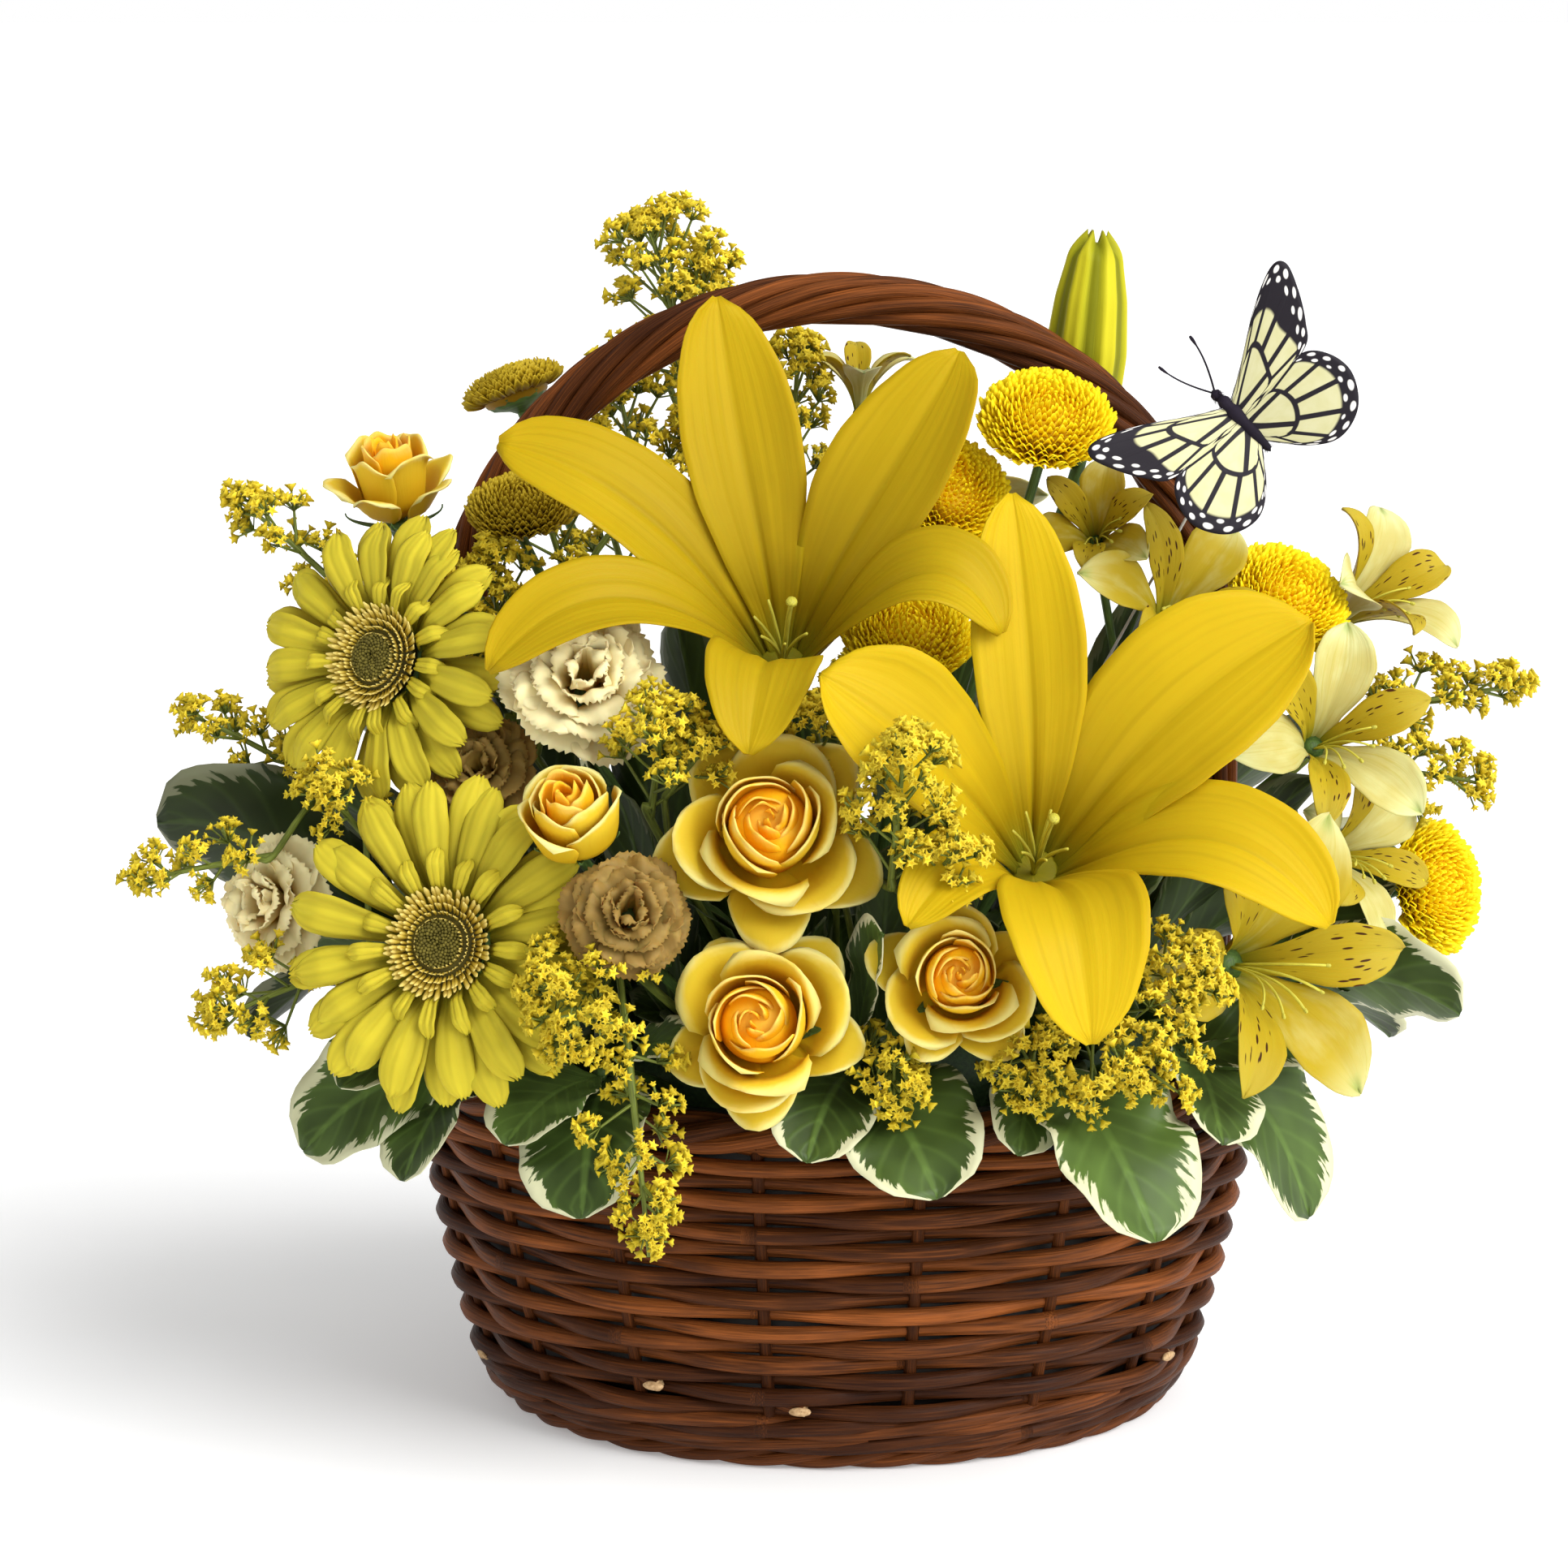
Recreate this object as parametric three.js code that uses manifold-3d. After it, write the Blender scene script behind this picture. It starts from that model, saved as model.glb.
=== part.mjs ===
// Flower basket arrangement: an oval willow basket with a twisted hoop handle, a liner and a block of
// wet foam, and the cut flowers, leaves and the butterfly ornament that stand in the foam.
// Millimetres, +Z up. The origin is on the floor under the middle of the basket, and -Y is the front.
import * as THREE from "three";
import { mergeVertices } from "three/addons/utils/BufferGeometryUtils.js";
import Module from "manifold-3d";

const wasm = await Module();
wasm.setup();
const { Manifold } = wasm;

// ---------------------------------------------------------------- driving dimensions
const OVAL = 0.85; // the basket's depth over its width
const RIM = { halfWidth: 133.5, z: 111, ridge: 6.6, valley: 5, lobes: 3, turns: 4, steps: 36 };
const SIDE = {
  // half-width of the wall's outer and inner faces at each height
  outer: [[1.5, 103], [8, 112], [20, 118], [50, 126], [104, 137]],
  inner: [[1.5, 98.4], [50, 119], [104, 131]],
  stakes: 17,
  rows: 19,
  weave: 2.2, // how far a rod swings out over a stake and in behind the next
  seam: Math.PI / 2, // the stake at the back where the rods climb from one row to the next
};
const BASE = { halfWidth: 97.4, top: 9, footInner: 82, hub: 26, recess: 2, spokes: 12, rows: 6, weave: 1.4 };
const HANDLE = {
  halfSpan: 121, springZ: 236, crownZ: 353, radius: 8.4, valley: 6.6, lobes: 5, turns: 3, steps: 32,
  legs: [[110, 44], [114.5, 78], [117.6, 111], [120, 170]], // half-span and height, from the buried end up
  taper: [[44, 0.42], [78, 0.6], [111, 1]], // height and share of the full thickness
};
const ROUND = 14; // flats round the liner and the foam
const LINER = { foot: 86, mouth: 106, wall: 2, bottom: 9.4, top: 112 };
const FOAM = { clearance: 0.5, rimZ: 118, shoulder: 92, shoulderZ: 134, topZ: 142 };
const GAP = 0.35; // clear air kept between neighbouring pieces
const LEAF_THICKNESS = 1.5;
const FOCUS = [0, 0, 78]; // every stem points away from this spot in the foam
const STEM_DEPTH = 20; // how far a stem stands in its hole
const RIM_CLEAR_Z = 126; // stems that leave over the rim pass it at this height
const GRIP = { low: [-44, -14, 300], high: [44, 14, 336] }; // room for the fingers under the crown

const COLOUR = {
  willow: 0x6b3a20, willowDark: 0x4d2917, liner: 0x2a3a28, foam: 0x3f6b3a, lily: 0xe8c418,
  bud: 0xb9c02f, gerbera: 0xccc050, eye: 0x5c5324, rose: 0xf0b92f, mum: 0xeeac1e,
  alstroemeria: 0xe3d46a, carnation: 0xefe3bf, goldenrod: 0xd2b52c, leaf: 0x3f6633,
  wing: 0xf0ecae, body: 0x2b2430, wire: 0xb9bcc0,
};

// Heads face along `face`. A `sway` moves the bend of a stem sideways and upwards, so that it clears the
// pieces beside it, and a `rise` lifts the middle of a side shoot.

// Lilies: the throat, the way the flower faces and each tepal's tip, shoulder and half-width.
const LILIES = {
  lily_left: {
    at: [-17, -64, 258], face: [0, -0.72, 0.69],
    tepals: [
      { tip: [-37, -40, 356], shoulder: [-32, -50, 312], half: 18 },
      { tip: [37, -48, 340], shoulder: [18, -66, 306], half: 19 },
      { tip: [-103, -60, 313], shoulder: [-62, -68, 306], half: 17 },
      { tip: [-104, -98, 249], shoulder: [-72, -92, 287], half: 14 },
      { tip: [48, -88, 259], shoulder: [30, -86, 297], half: 15 },
      { tip: [-27, -126, 229], shoulder: [-22, -112, 268], half: 17 },
    ],
  },
  lily_right: {
    at: [60, -100, 199], face: [0.05, -0.78, 0.62],
    tepals: [
      { tip: [52, -70, 299], shoulder: [57, -84, 252], half: 17 },
      { tip: [141, -82, 262], shoulder: [100, -92, 244], half: 25 },
      { tip: [143, -126, 178], shoulder: [114, -118, 220], half: 18 },
      { tip: [71, -166, 152], shoulder: [66, -160, 202], half: 21 },
      { tip: [-6, -124, 252], shoulder: [20, -124, 236], half: 22 },
      { tip: [19, -146, 182], shoulder: [37, -134, 209], half: 13 },
    ],
  },
};
const LILY_BUD = { foot: [77, 22, 300], tip: [83, 22, 369], radius: 13 };

const GERBERAS = {
  gerbera_upper: { at: [-140, -64, 248], face: [-0.5, -0.82, 0.28], radius: 46 },
  gerbera_lower: { at: [-118, -114, 170], face: [-0.22, -0.93, 0.27], radius: 50 },
};
const GERBERA_EYE = 14.5; // radius of the eye with its ring of short florets

const ROSES = {
  rose_top: { at: [-21, -124, 207], face: [0.02, -0.9, 0.43], radius: 31 },
  rose_low: { at: [-24, -140, 152], face: [-0.12, -0.92, 0.36], radius: 28 },
  rose_right: { at: [34, -142, 166], face: [0.05, -0.92, 0.38], radius: 24 },
  rose_bud: { at: [-79, -126, 212.7], face: [-0.15, -0.6, 0.78], radius: 14, furled: "bud" },
  rose_left: { at: [-140, -14, 300], face: [-0.1, -0.3, 0.95], radius: 17, furled: "spread", sway: [-7, 0] },
};

const MUMS = {
  mum_crown_right: { at: [64, -38, 318], face: [0.05, -0.6, 0.8], radius: 20.5 },
  mum_middle: { at: [35, -38, 296], face: [0.25, -0.8, 0.55], radius: 18 },
  mum_right: { at: [141, -24, 261], face: [0.4, -0.6, 0.7], radius: 20 },
  mum_far_right: { at: [189, -24, 169], face: [0.75, -0.62, 0.2], radius: 21 },
  mum_crown_left: { at: [-98, -30, 290], face: [-0.05, -0.4, 0.9], radius: 17 },
  mum_behind_handle: { at: [-104, 34, 322], face: [-0.35, 0.1, 0.93], radius: 16.5 },
  mum_under_lily: { at: [22, -46, 252], face: [0, -0.5, 0.86], radius: 20 },
  mum_back: { at: [-38, 92, 250], face: [-0.2, 0.75, 0.63], radius: 20 },
};

// Peruvian lilies: one stem carries one or more funnel-shaped flowers.
const ALSTROEMERIAS = {
  alstroemeria_front: [{ at: [130, -94, 160], face: [0.5, -0.8, 0.2], size: 1.35, spin: 12 }],
  alstroemeria_right: [
    { at: [152, -52, 223], face: [0.25, -0.86, 0.42], size: 0.88, spin: 40 },
    { at: [162, -50, 186], face: [0.7, -0.66, 0.25], size: 0.7, spin: 0 },
  ],
  alstroemeria_far: [
    { at: [171, 0, 260], face: [0.72, -0.1, 0.66], size: 0.8, spin: 25, furled: 0.4, sway: [-7, 7] },
  ],
  alstroemeria_middle: [
    { at: [106, -42, 263.4], face: [0.3, -0.72, 0.6], size: 0.78, spin: 10 },
    { at: [80, -28, 284], face: [-0.1, -0.8, 0.5], size: 0.7, spin: 50, furled: 0.3 },
  ],
  alstroemeria_back: [
    { at: [8, 38, 326], face: [0, -0.1, 1], size: 0.62, spin: 0, furled: 0.2 },
    { at: [42, 78, 278], face: [0.25, 0.62, 0.74], size: 0.9, spin: 20 },
  ],
};

const CARNATIONS = {
  carnation_upper: { at: [-76, -86, 243.6], face: [0.1, -0.82, 0.55], radius: 25 },
  carnation_left: { at: [-172, -64, 172], face: [-0.62, -0.75, 0.2], radius: 21 },
  carnation_between: { at: [-108, -76, 215], face: [-0.2, -0.8, 0.5], radius: 17 },
  carnation_low: { at: [-62, -130, 181.7], face: [0.1, -0.9, 0.4], radius: 19 },
  carnation_back: { at: [-100, 70, 215], face: [-0.6, 0.62, 0.5], radius: 22 },
};

// Goldenrod: each plume runs from its foot to its tip; plumes of one spray share a stem.
const GOLDENROD = {
  goldenrod_top: [{ foot: [-46, 32, 320], tip: [-60, 36, 381], spread: 17, twigs: 4 }],
  goldenrod_under_handle: [
    { foot: [-62, 24, 292], tip: [-72, 28, 330], spread: 13, twigs: 3 },
    { foot: [-14, 30, 298], tip: [-12, 34, 336], spread: 12, twigs: 3, rise: 18 },
  ],
  goldenrod_left_upper: [{ foot: [-152, -12, 262], tip: [-189, -12, 291], spread: 10, twigs: 3 }],
  goldenrod_inner: [{ foot: [-100, -42, 238], tip: [-108, -46, 280], spread: 14, twigs: 3 }],
  goldenrod_left: [
    { foot: [-166, -30, 206], tip: [-203, -34, 226], spread: 9, twigs: 2 },
    { foot: [-176, -74, 188], tip: [-214, -76, 180], spread: 8, twigs: 2, rise: 8 },
  ],
  goldenrod_left_low: [{ foot: [-158, -78, 152], tip: [-189, -94, 141], spread: 11, twigs: 3 }],
  goldenrod_hanging: [
    { foot: [-68, -124, 160], tip: [-78, -142, 144], spread: 15, twigs: 3 },
    { foot: [-62, -136, 138], tip: [-56, -146, 86], spread: 11, twigs: 3 },
  ],
  goldenrod_centre: [{ foot: [-56, -98, 214], tip: [-52, -116, 236], spread: 12, twigs: 3 }],
  goldenrod_middle: [
    { foot: [-2, -88, 212], tip: [-8, -104, 236], spread: 8, twigs: 2 },
    { foot: [15, -124, 206], tip: [18, -150, 236], spread: 11, twigs: 2 },
    { foot: [12, -118, 138], tip: [17, -142, 130], spread: 12, twigs: 2 },
  ],
  goldenrod_front: [{ foot: [70, -116, 146], tip: [86, -140, 138], spread: 17, twigs: 4, sway: [-7, 0] }],
  goldenrod_right: [
    { foot: [172, -12, 224], tip: [219, -10, 229], spread: 9, twigs: 3, sway: [7, 0] },
    { foot: [168, -30, 206], tip: [200, -36, 206], spread: 9, twigs: 2 },
  ],
  goldenrod_back: [
    { foot: [10, 96, 220], tip: [12, 128, 262], spread: 14, twigs: 3 },
    { foot: [-70, 66, 262], tip: [-84, 84, 300], spread: 13, twigs: 3, rise: 8 },
  ],
};

// Pittosporum: leafy sprigs; each leaf runs from the sprig's crown to its own tip.
const SPRIGS = {
  leaves_left_low: {
    crown: [-112, -84, 127],
    leaves: [
      { tip: [-164, -80, 98], half: 16 },
      { tip: [-131, -108, 96], half: 13 },
      { tip: [-150, -104, 124], half: 11 },
    ],
  },
  leaves_front_left: {
    crown: [-72, -104, 128],
    leaves: [
      { tip: [-99, -126, 112], half: 13 },
      { tip: [-76, -142, 94], half: 17 },
      { tip: [-46, -130, 142], half: 8 },
    ],
  },
  leaves_front: {
    crown: [4, -104, 130],
    leaves: [
      { tip: [-10, -146, 112], half: 13 },
      { tip: [28, -146, 101], half: 18 },
      { tip: [12, -138, 178], half: 9 },
    ],
  },
  leaves_front_right: {
    crown: [62, -100, 129],
    leaves: [
      { tip: [92, -146, 88], half: 20 },
      { tip: [58, -138, 172], half: 8 },
      { tip: [52, -138, 112], half: 10 },
    ],
  },
  leaves_right: {
    crown: [106, -76, 128],
    leaves: [
      { tip: [114, -118, 110], half: 14 },
      { tip: [164, -86, 104], half: 15, bend: 32 },
      { tip: [148, -66, 126], half: 11 },
    ],
  },
  leaves_far_right: {
    crown: [132, -30, 138],
    leaves: [
      { tip: [193, -58, 136], half: 17 },
      { tip: [178, -12, 118], half: 15 },
      { tip: [172, 28, 150], half: 14, bend: -32 },
    ],
  },
  leaves_left: {
    crown: [-132, -26, 150],
    leaves: [
      { tip: [-212, -40, 193], half: 16 },
      { tip: [-186, -30, 122], half: 15 },
      { tip: [-190, 12, 158], half: 15 },
    ],
  },
  leaves_back_left: {
    crown: [-66, 88, 134],
    leaves: [
      { tip: [-128, 96, 108], half: 17 },
      { tip: [-72, 146, 104], half: 18, bend: 5 },
      { tip: [-96, 108, 178], half: 16 },
      { tip: [-14, 140, 124], half: 18 },
      { tip: [-40, 104, 196], half: 18 },
    ],
  },
  leaves_back_right: {
    crown: [68, 87, 134],
    leaves: [
      { tip: [122, 98, 106], half: 17 },
      { tip: [60, 146, 106], half: 18, bend: 5 },
      { tip: [112, 92, 184], half: 17 },
      { tip: [28, 124, 188], half: 16 },
      { tip: [14, 142, 122], half: 17 },
    ],
  },
};

const BUTTERFLY = {
  at: [122, -52, 320], // the thorax
  ahead: [-0.7, 0, 0.71], // from tail to head
  up: [0.15, -0.96, -0.05], // the side that carries the wings' upper faces
  bodyLength: 26, bodyRadius: 2.2, wing: 1.1, dihedral: 14,
};

// ---------------------------------------------------------------- solids
const v3 = (p) => (p.isVector3 ? p.clone() : new THREE.Vector3(...p));
const lerp = (a, b, t) => a + (b - a) * t;
const unit = (p) => v3(p).normalize();
const along = (p, d, k) => v3(p).addScaledVector(v3(d), k);
const turn = (i, n) => (i / n) * Math.PI * 2;

// A repeatable stream of numbers from 0 to 1.
function numbers(seed) {
  let state = seed * 2654435761 + 12345;
  return () => {
    state = (Math.imul(state ^ (state >>> 15), 2246822519) + 3266489917) | 0;
    return ((state ^ (state >>> 13)) >>> 0) / 4294967296;
  };
}

// A list of [x, y] pairs read as a broken line.
function table(pairs, x) {
  const i = Math.max(1, pairs.findIndex((p) => p[0] >= x));
  const [a, b] = x >= pairs.at(-1)[0] ? pairs.slice(-2) : [pairs[i - 1], pairs[i]];
  return lerp(a[1], b[1], THREE.MathUtils.clamp((x - a[0]) / (b[0] - a[0]), 0, 1));
}

// A closed solid from points and triangles; a skin that faces inwards is turned round.
function solidOf(points, triangles) {
  const geometry = new THREE.BufferGeometry().setFromPoints(points);
  geometry.setIndex(triangles.flat());
  return closed(geometry);
}

function closed(geometry) {
  geometry.deleteAttribute("normal");
  geometry.deleteAttribute("uv");
  const merged = mergeVertices(geometry, 1e-4);
  const vertProperties = merged.attributes.position.array;
  const triVerts = new Uint32Array(merged.index.array);
  const made = new Manifold(new wasm.Mesh({ numProp: 3, vertProperties, triVerts }));
  if (made.volume() > 0) return made;
  for (let i = 0; i < triVerts.length; i += 3) triVerts.subarray(i, i + 3).reverse();
  return new Manifold(new wasm.Mesh({ numProp: 3, vertProperties, triVerts }));
}

// A skin over rings of points, which may differ in number. A ring of one point closes an end, and an
// open end gets a flat fan.
function loft(rings, loop = false) {
  const points = [];
  const index = rings.map((ring) => ring.map((p) => points.push(v3(p)) - 1));
  const triangles = [];
  const last = loop ? rings.length : rings.length - 1;
  for (let i = 0; i < last; i++) {
    const [a, b] = [index[i], index[(i + 1) % rings.length]];
    const n = Math.max(a.length, b.length);
    const pick = (ring, k) => ring[Math.floor((k * ring.length) / n) % ring.length];
    for (let k = 0; k < n; k++) {
      const [a0, a1] = [pick(a, k), pick(a, k + 1)];
      const [b0, b1] = [pick(b, k), pick(b, k + 1)];
      if (a0 !== a1) triangles.push([a0, a1, b1]);
      if (b0 !== b1) triangles.push([a0, b1, b0]);
    }
  }
  if (!loop) {
    for (let k = 1; k < index[0].length - 1; k++) triangles.push([index[0][0], index[0][k + 1], index[0][k]]);
    const end = index.at(-1);
    for (let k = 1; k < end.length - 1; k++) triangles.push([end[0], end[k], end[k + 1]]);
  }
  return solidOf(points, triangles);
}

// Rings of points along a path, with a radius at each. A radius of 0 makes a point.
function tubeRings(points, radii, sides, firstSide = null) {
  const path = points.map(v3);
  const side = new THREE.Vector3();
  return path.map((p, i) => {
    const ahead = path[Math.min(i + 1, path.length - 1)].clone().sub(path[Math.max(i - 1, 0)]).normalize();
    if (i === 0) side.set(Math.abs(ahead.x) < 0.8 ? 1 : 0, Math.abs(ahead.x) < 0.8 ? 0 : 1, 0);
    if (i === 0 && firstSide) side.copy(firstSide);
    side.addScaledVector(ahead, -side.dot(ahead)).normalize();
    const across = ahead.clone().cross(side);
    if (radii[i] === 0) return [p];
    return Array.from({ length: sides }, (_, k) => {
      const a = turn(k, sides);
      return along(along(p, side, radii[i] * Math.cos(a)), across, radii[i] * Math.sin(a));
    });
  });
}

const tube = (points, radii, sides) => loft(tubeRings(points, radii, sides));

// A thin blade with sharp edges through rows of points on its middle surface. The last row may be one tip.
function blade(rows, thickness) {
  const points = [];
  const cols = rows[0].length;
  const at = (i, c) => rows[i][Math.min(c, rows[i].length - 1)];
  const top = [], bottom = [];
  rows.forEach((row, i) => {
    top.push([]);
    bottom.push([]);
    for (let c = 0; c < cols; c++) {
      if (row.length === 1) {
        top[i].push(c ? top[i][0] : points.push(v3(row[0])) - 1);
        bottom[i].push(top[i][0]);
      } else if (c === 0 || c === cols - 1) {
        top[i].push(points.push(v3(row[c])) - 1);
        bottom[i].push(top[i][c]);
      } else {
        const [low, high] = [Math.max(i - 1, 0), Math.min(i + 1, rows.length - 1)];
        const normal = v3(at(high, c)).sub(at(low, c)).cross(v3(row[c + 1]).sub(row[c - 1])).normalize();
        top[i].push(points.push(along(row[c], normal, thickness / 2)) - 1);
        bottom[i].push(points.push(along(row[c], normal, -thickness / 2)) - 1);
      }
    }
  });
  const triangles = [];
  const add = (a, b, c) => a !== b && b !== c && a !== c && triangles.push([a, b, c]);
  for (let i = 0; i < rows.length - 1; i++)
    for (let c = 0; c < cols - 1; c++) {
      const flip = c >= (cols - 1) / 2; // each half mirrors the other
      for (const skin of [top, bottom]) {
        const [p, q, r, s] = [skin[i][c], skin[i][c + 1], skin[i + 1][c + 1], skin[i + 1][c]];
        for (const triangle of flip ? [[p, q, r], [p, r, s]] : [[p, q, s], [q, r, s]]) {
          add(...(skin === top ? triangle : triangle.reverse()));
        }
      }
    }
  for (let c = 0; c < cols - 1; c++) {
    add(top[0][c], bottom[0][c], top[0][c + 1]);
    add(bottom[0][c], bottom[0][c + 1], top[0][c + 1]);
    const n = rows.length - 1;
    if (rows[n].length > 1) {
      add(top[n][c], top[n][c + 1], bottom[n][c]);
      add(bottom[n][c], top[n][c + 1], bottom[n][c + 1]);
    }
  }
  return solidOf(points, triangles);
}

// ---------------------------------------------------------------- what has its place already
const placed = [];
const remember = (owner, solid) => placed.push({ owner, solid, box: solid.boundingBox() });

// The first node of another name that a solid touches or nearly touches. A piece of a node is named
// after it with a slash, and is held against the other pieces of its node too.
function neighbour(owner, solid, throughFoam = false) {
  const { min, max } = solid.boundingBox();
  const node = owner.split("/")[0];
  const own = (other) => other === owner || (owner === node ? other.split("/")[0] : other) === node;
  const near = placed.find(
    (other) =>
      !own(other.owner) &&
      !(throughFoam && other.owner === "foam") &&
      [0, 1, 2].every((k) => min[k] < other.box.max[k] + GAP && max[k] > other.box.min[k] - GAP) &&
      solid.minGap(other.solid, GAP * 2) < GAP,
  );
  return near?.owner;
}

// Gives a solid its place, or says what is in its way.
function claim(owner, solid, throughFoam = false) {
  const near = neighbour(owner, solid, throughFoam);
  if (near) throw new Error(`${owner} touches ${near}`);
  remember(owner, solid);
  return solid;
}

const group = new THREE.Group();

// Joins the solids of a node. Its largest body is kept, and a loose scrap is dropped.
function addNode(name, solids, colour, roughness = 0.6) {
  const [body] = Manifold.union(solids).decompose().sort((a, b) => b.volume() - a.volume());
  const { vertProperties, triVerts, numProp } = body.getMesh();
  const position = new Float32Array((vertProperties.length / numProp) * 3);
  for (let i = 0; i < position.length / 3; i++) {
    position.set(vertProperties.subarray(i * numProp, i * numProp + 3), i * 3);
  }
  const geometry = new THREE.BufferGeometry();
  geometry.setAttribute("position", new THREE.BufferAttribute(position, 3));
  geometry.setIndex(new THREE.BufferAttribute(triVerts, 1));
  const material = new THREE.MeshStandardMaterial({ color: colour, roughness, flatShading: true });
  const mesh = new THREE.Mesh(geometry, material);
  mesh.name = name;
  group.add(mesh);
}

// ---------------------------------------------------------------- the basket
const ovalPoint = (angle, halfWidth, z) => [halfWidth * Math.cos(angle), halfWidth * OVAL * Math.sin(angle), z];

// The wall: rods woven over and under the stakes, raised from the wall's surface by a formula.
function basketSide() {
  const [low, high] = [SIDE.outer[0][0], SIDE.outer.at(-1)[0]];
  const columns = SIDE.stakes * 2;
  const rings = Array.from({ length: columns }, (_, j) => {
    const angle = turn(j, columns) + SIDE.seam;
    const rows = Array.from({ length: SIDE.rows }, (_, row) => {
      const z = lerp(low, high, (row + 0.5) / SIDE.rows);
      const swing = j % 2 ? 0 : SIDE.weave * ((j / 2 + row) % 2 ? -1 : 1);
      return [z, table(SIDE.outer, z) + swing];
    });
    const profile = [SIDE.outer[0], ...rows, SIDE.outer.at(-1), ...[...SIDE.inner].reverse()];
    return profile.map(([z, halfWidth]) => ovalPoint(angle, halfWidth, z));
  });
  return loft(rings, true);
}

// The woven floor: a flat hub and foot ring on the table, and between them, a little above it, rows of
// rods that run over and under the spokes.
function basketBase() {
  const columns = BASE.spokes * 2;
  const ring = (halfWidth, z, swing = () => 0) =>
    Array.from({ length: columns }, (_, k) => ovalPoint(turn(k, columns), halfWidth, z + swing(k)));
  const woven = Array.from({ length: BASE.rows }, (_, row) => {
    const halfWidth = lerp(BASE.hub, BASE.footInner, (row + 1) / (BASE.rows + 1));
    return ring(halfWidth, BASE.recess, (k) => (k % 2 ? 0 : BASE.weave * ((k / 2 + row) % 2 ? -1 : 1)));
  });
  const foot = [ring(BASE.footInner, 0), ring(BASE.halfWidth, 0)];
  return loft([ring(BASE.hub, 0), ...woven, ...foot, ring(BASE.halfWidth, BASE.top)]);
}

// The plaited border: a lobed rod that twists as it runs round the mouth.
function basketRim() {
  const rings = Array.from({ length: RIM.steps }, (_, j) => {
    const angle = turn(j, RIM.steps);
    return Array.from({ length: RIM.lobes * 2 }, (_, k) => {
      const twist = turn(k, RIM.lobes * 2) + RIM.turns * angle;
      const r = k % 2 ? RIM.valley : RIM.ridge;
      const [x, y] = ovalPoint(angle, RIM.halfWidth, 0);
      const out = unit([x * OVAL, y / OVAL, 0]);
      return along([x, y, RIM.z + r * Math.sin(twist)], out, r * Math.cos(twist));
    });
  });
  return loft(rings, true);
}

// The hoop: rods twisted together. Its ends run down inside the wall, thinner, beside the stakes.
function handlePath() {
  const right = HANDLE.legs.map(([x, z]) => new THREE.Vector3(x, 0, z));
  const arch = Array.from({ length: 13 }, (_, i) => {
    const a = (i / 12) * Math.PI;
    const rise = (HANDLE.crownZ - HANDLE.springZ) * Math.sin(a);
    return new THREE.Vector3(HANDLE.halfSpan * Math.cos(a), 0, HANDLE.springZ + rise);
  });
  const left = [...HANDLE.legs].reverse().map(([x, z]) => new THREE.Vector3(-x, 0, z));
  return [...right, ...arch, ...left];
}

function handle() {
  const curve = new THREE.CatmullRomCurve3(handlePath(), false, "centripetal");
  const rings = Array.from({ length: HANDLE.steps + 1 }, (_, i) => {
    const u = i / HANDLE.steps;
    const p = curve.getPointAt(u);
    const out = new THREE.Vector3(0, 1, 0).cross(curve.getTangentAt(u));
    return Array.from({ length: HANDLE.lobes * 2 }, (_, k) => {
      const a = turn(k, HANDLE.lobes * 2) + turn(u * HANDLE.turns, 1);
      const r = (k % 2 ? HANDLE.valley : HANDLE.radius) * table(HANDLE.taper, p.z);
      return along(along(p, [0, 1, 0], r * Math.cos(a)), out, r * Math.sin(a));
    });
  });
  return loft(rings);
}

function turned(profile, segments) {
  const lathe = new THREE.LatheGeometry(profile.map(([r, z]) => new THREE.Vector2(r, z)), segments);
  lathe.rotateX(Math.PI / 2);
  lathe.scale(1, OVAL, 1);
  return closed(lathe);
}

function liner() {
  const { foot, mouth, wall, bottom, top } = LINER;
  const outside = [[0, bottom], [foot, bottom], [mouth, top]];
  const inside = [[mouth - wall, top], [foot - wall, bottom + wall], [0, bottom + wall]];
  return turned([...outside, ...inside], ROUND);
}

const foamProfile = [
  [0, LINER.bottom + LINER.wall + FOAM.clearance],
  [LINER.foot - LINER.wall - FOAM.clearance * 2, LINER.bottom + LINER.wall + FOAM.clearance],
  [LINER.mouth - LINER.wall - FOAM.clearance * 2, FOAM.rimZ],
  [FOAM.shoulder, FOAM.shoulderZ],
  [0, FOAM.topZ],
];

const ovalRadius = (p) => Math.hypot(p.x, p.y / OVAL);
const foamReach = foamProfile.slice(2).map(([r, z]) => [z, r]);
const inFoam = (p, margin = 0) =>
  p.z < FOAM.topZ + margin && ovalRadius(p) < table(foamReach, p.z) + margin * 1.4;

// ---------------------------------------------------------------- stems
const holes = [];

// Rings up a path that is given from its top end down.
function ringsUp(path, radius, sides, firstSide) {
  const down = tubeRings(path, path.map(() => radius), sides, firstSide);
  return down.reverse().map(([first, ...others]) => [first, ...others.reverse()]);
}

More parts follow.
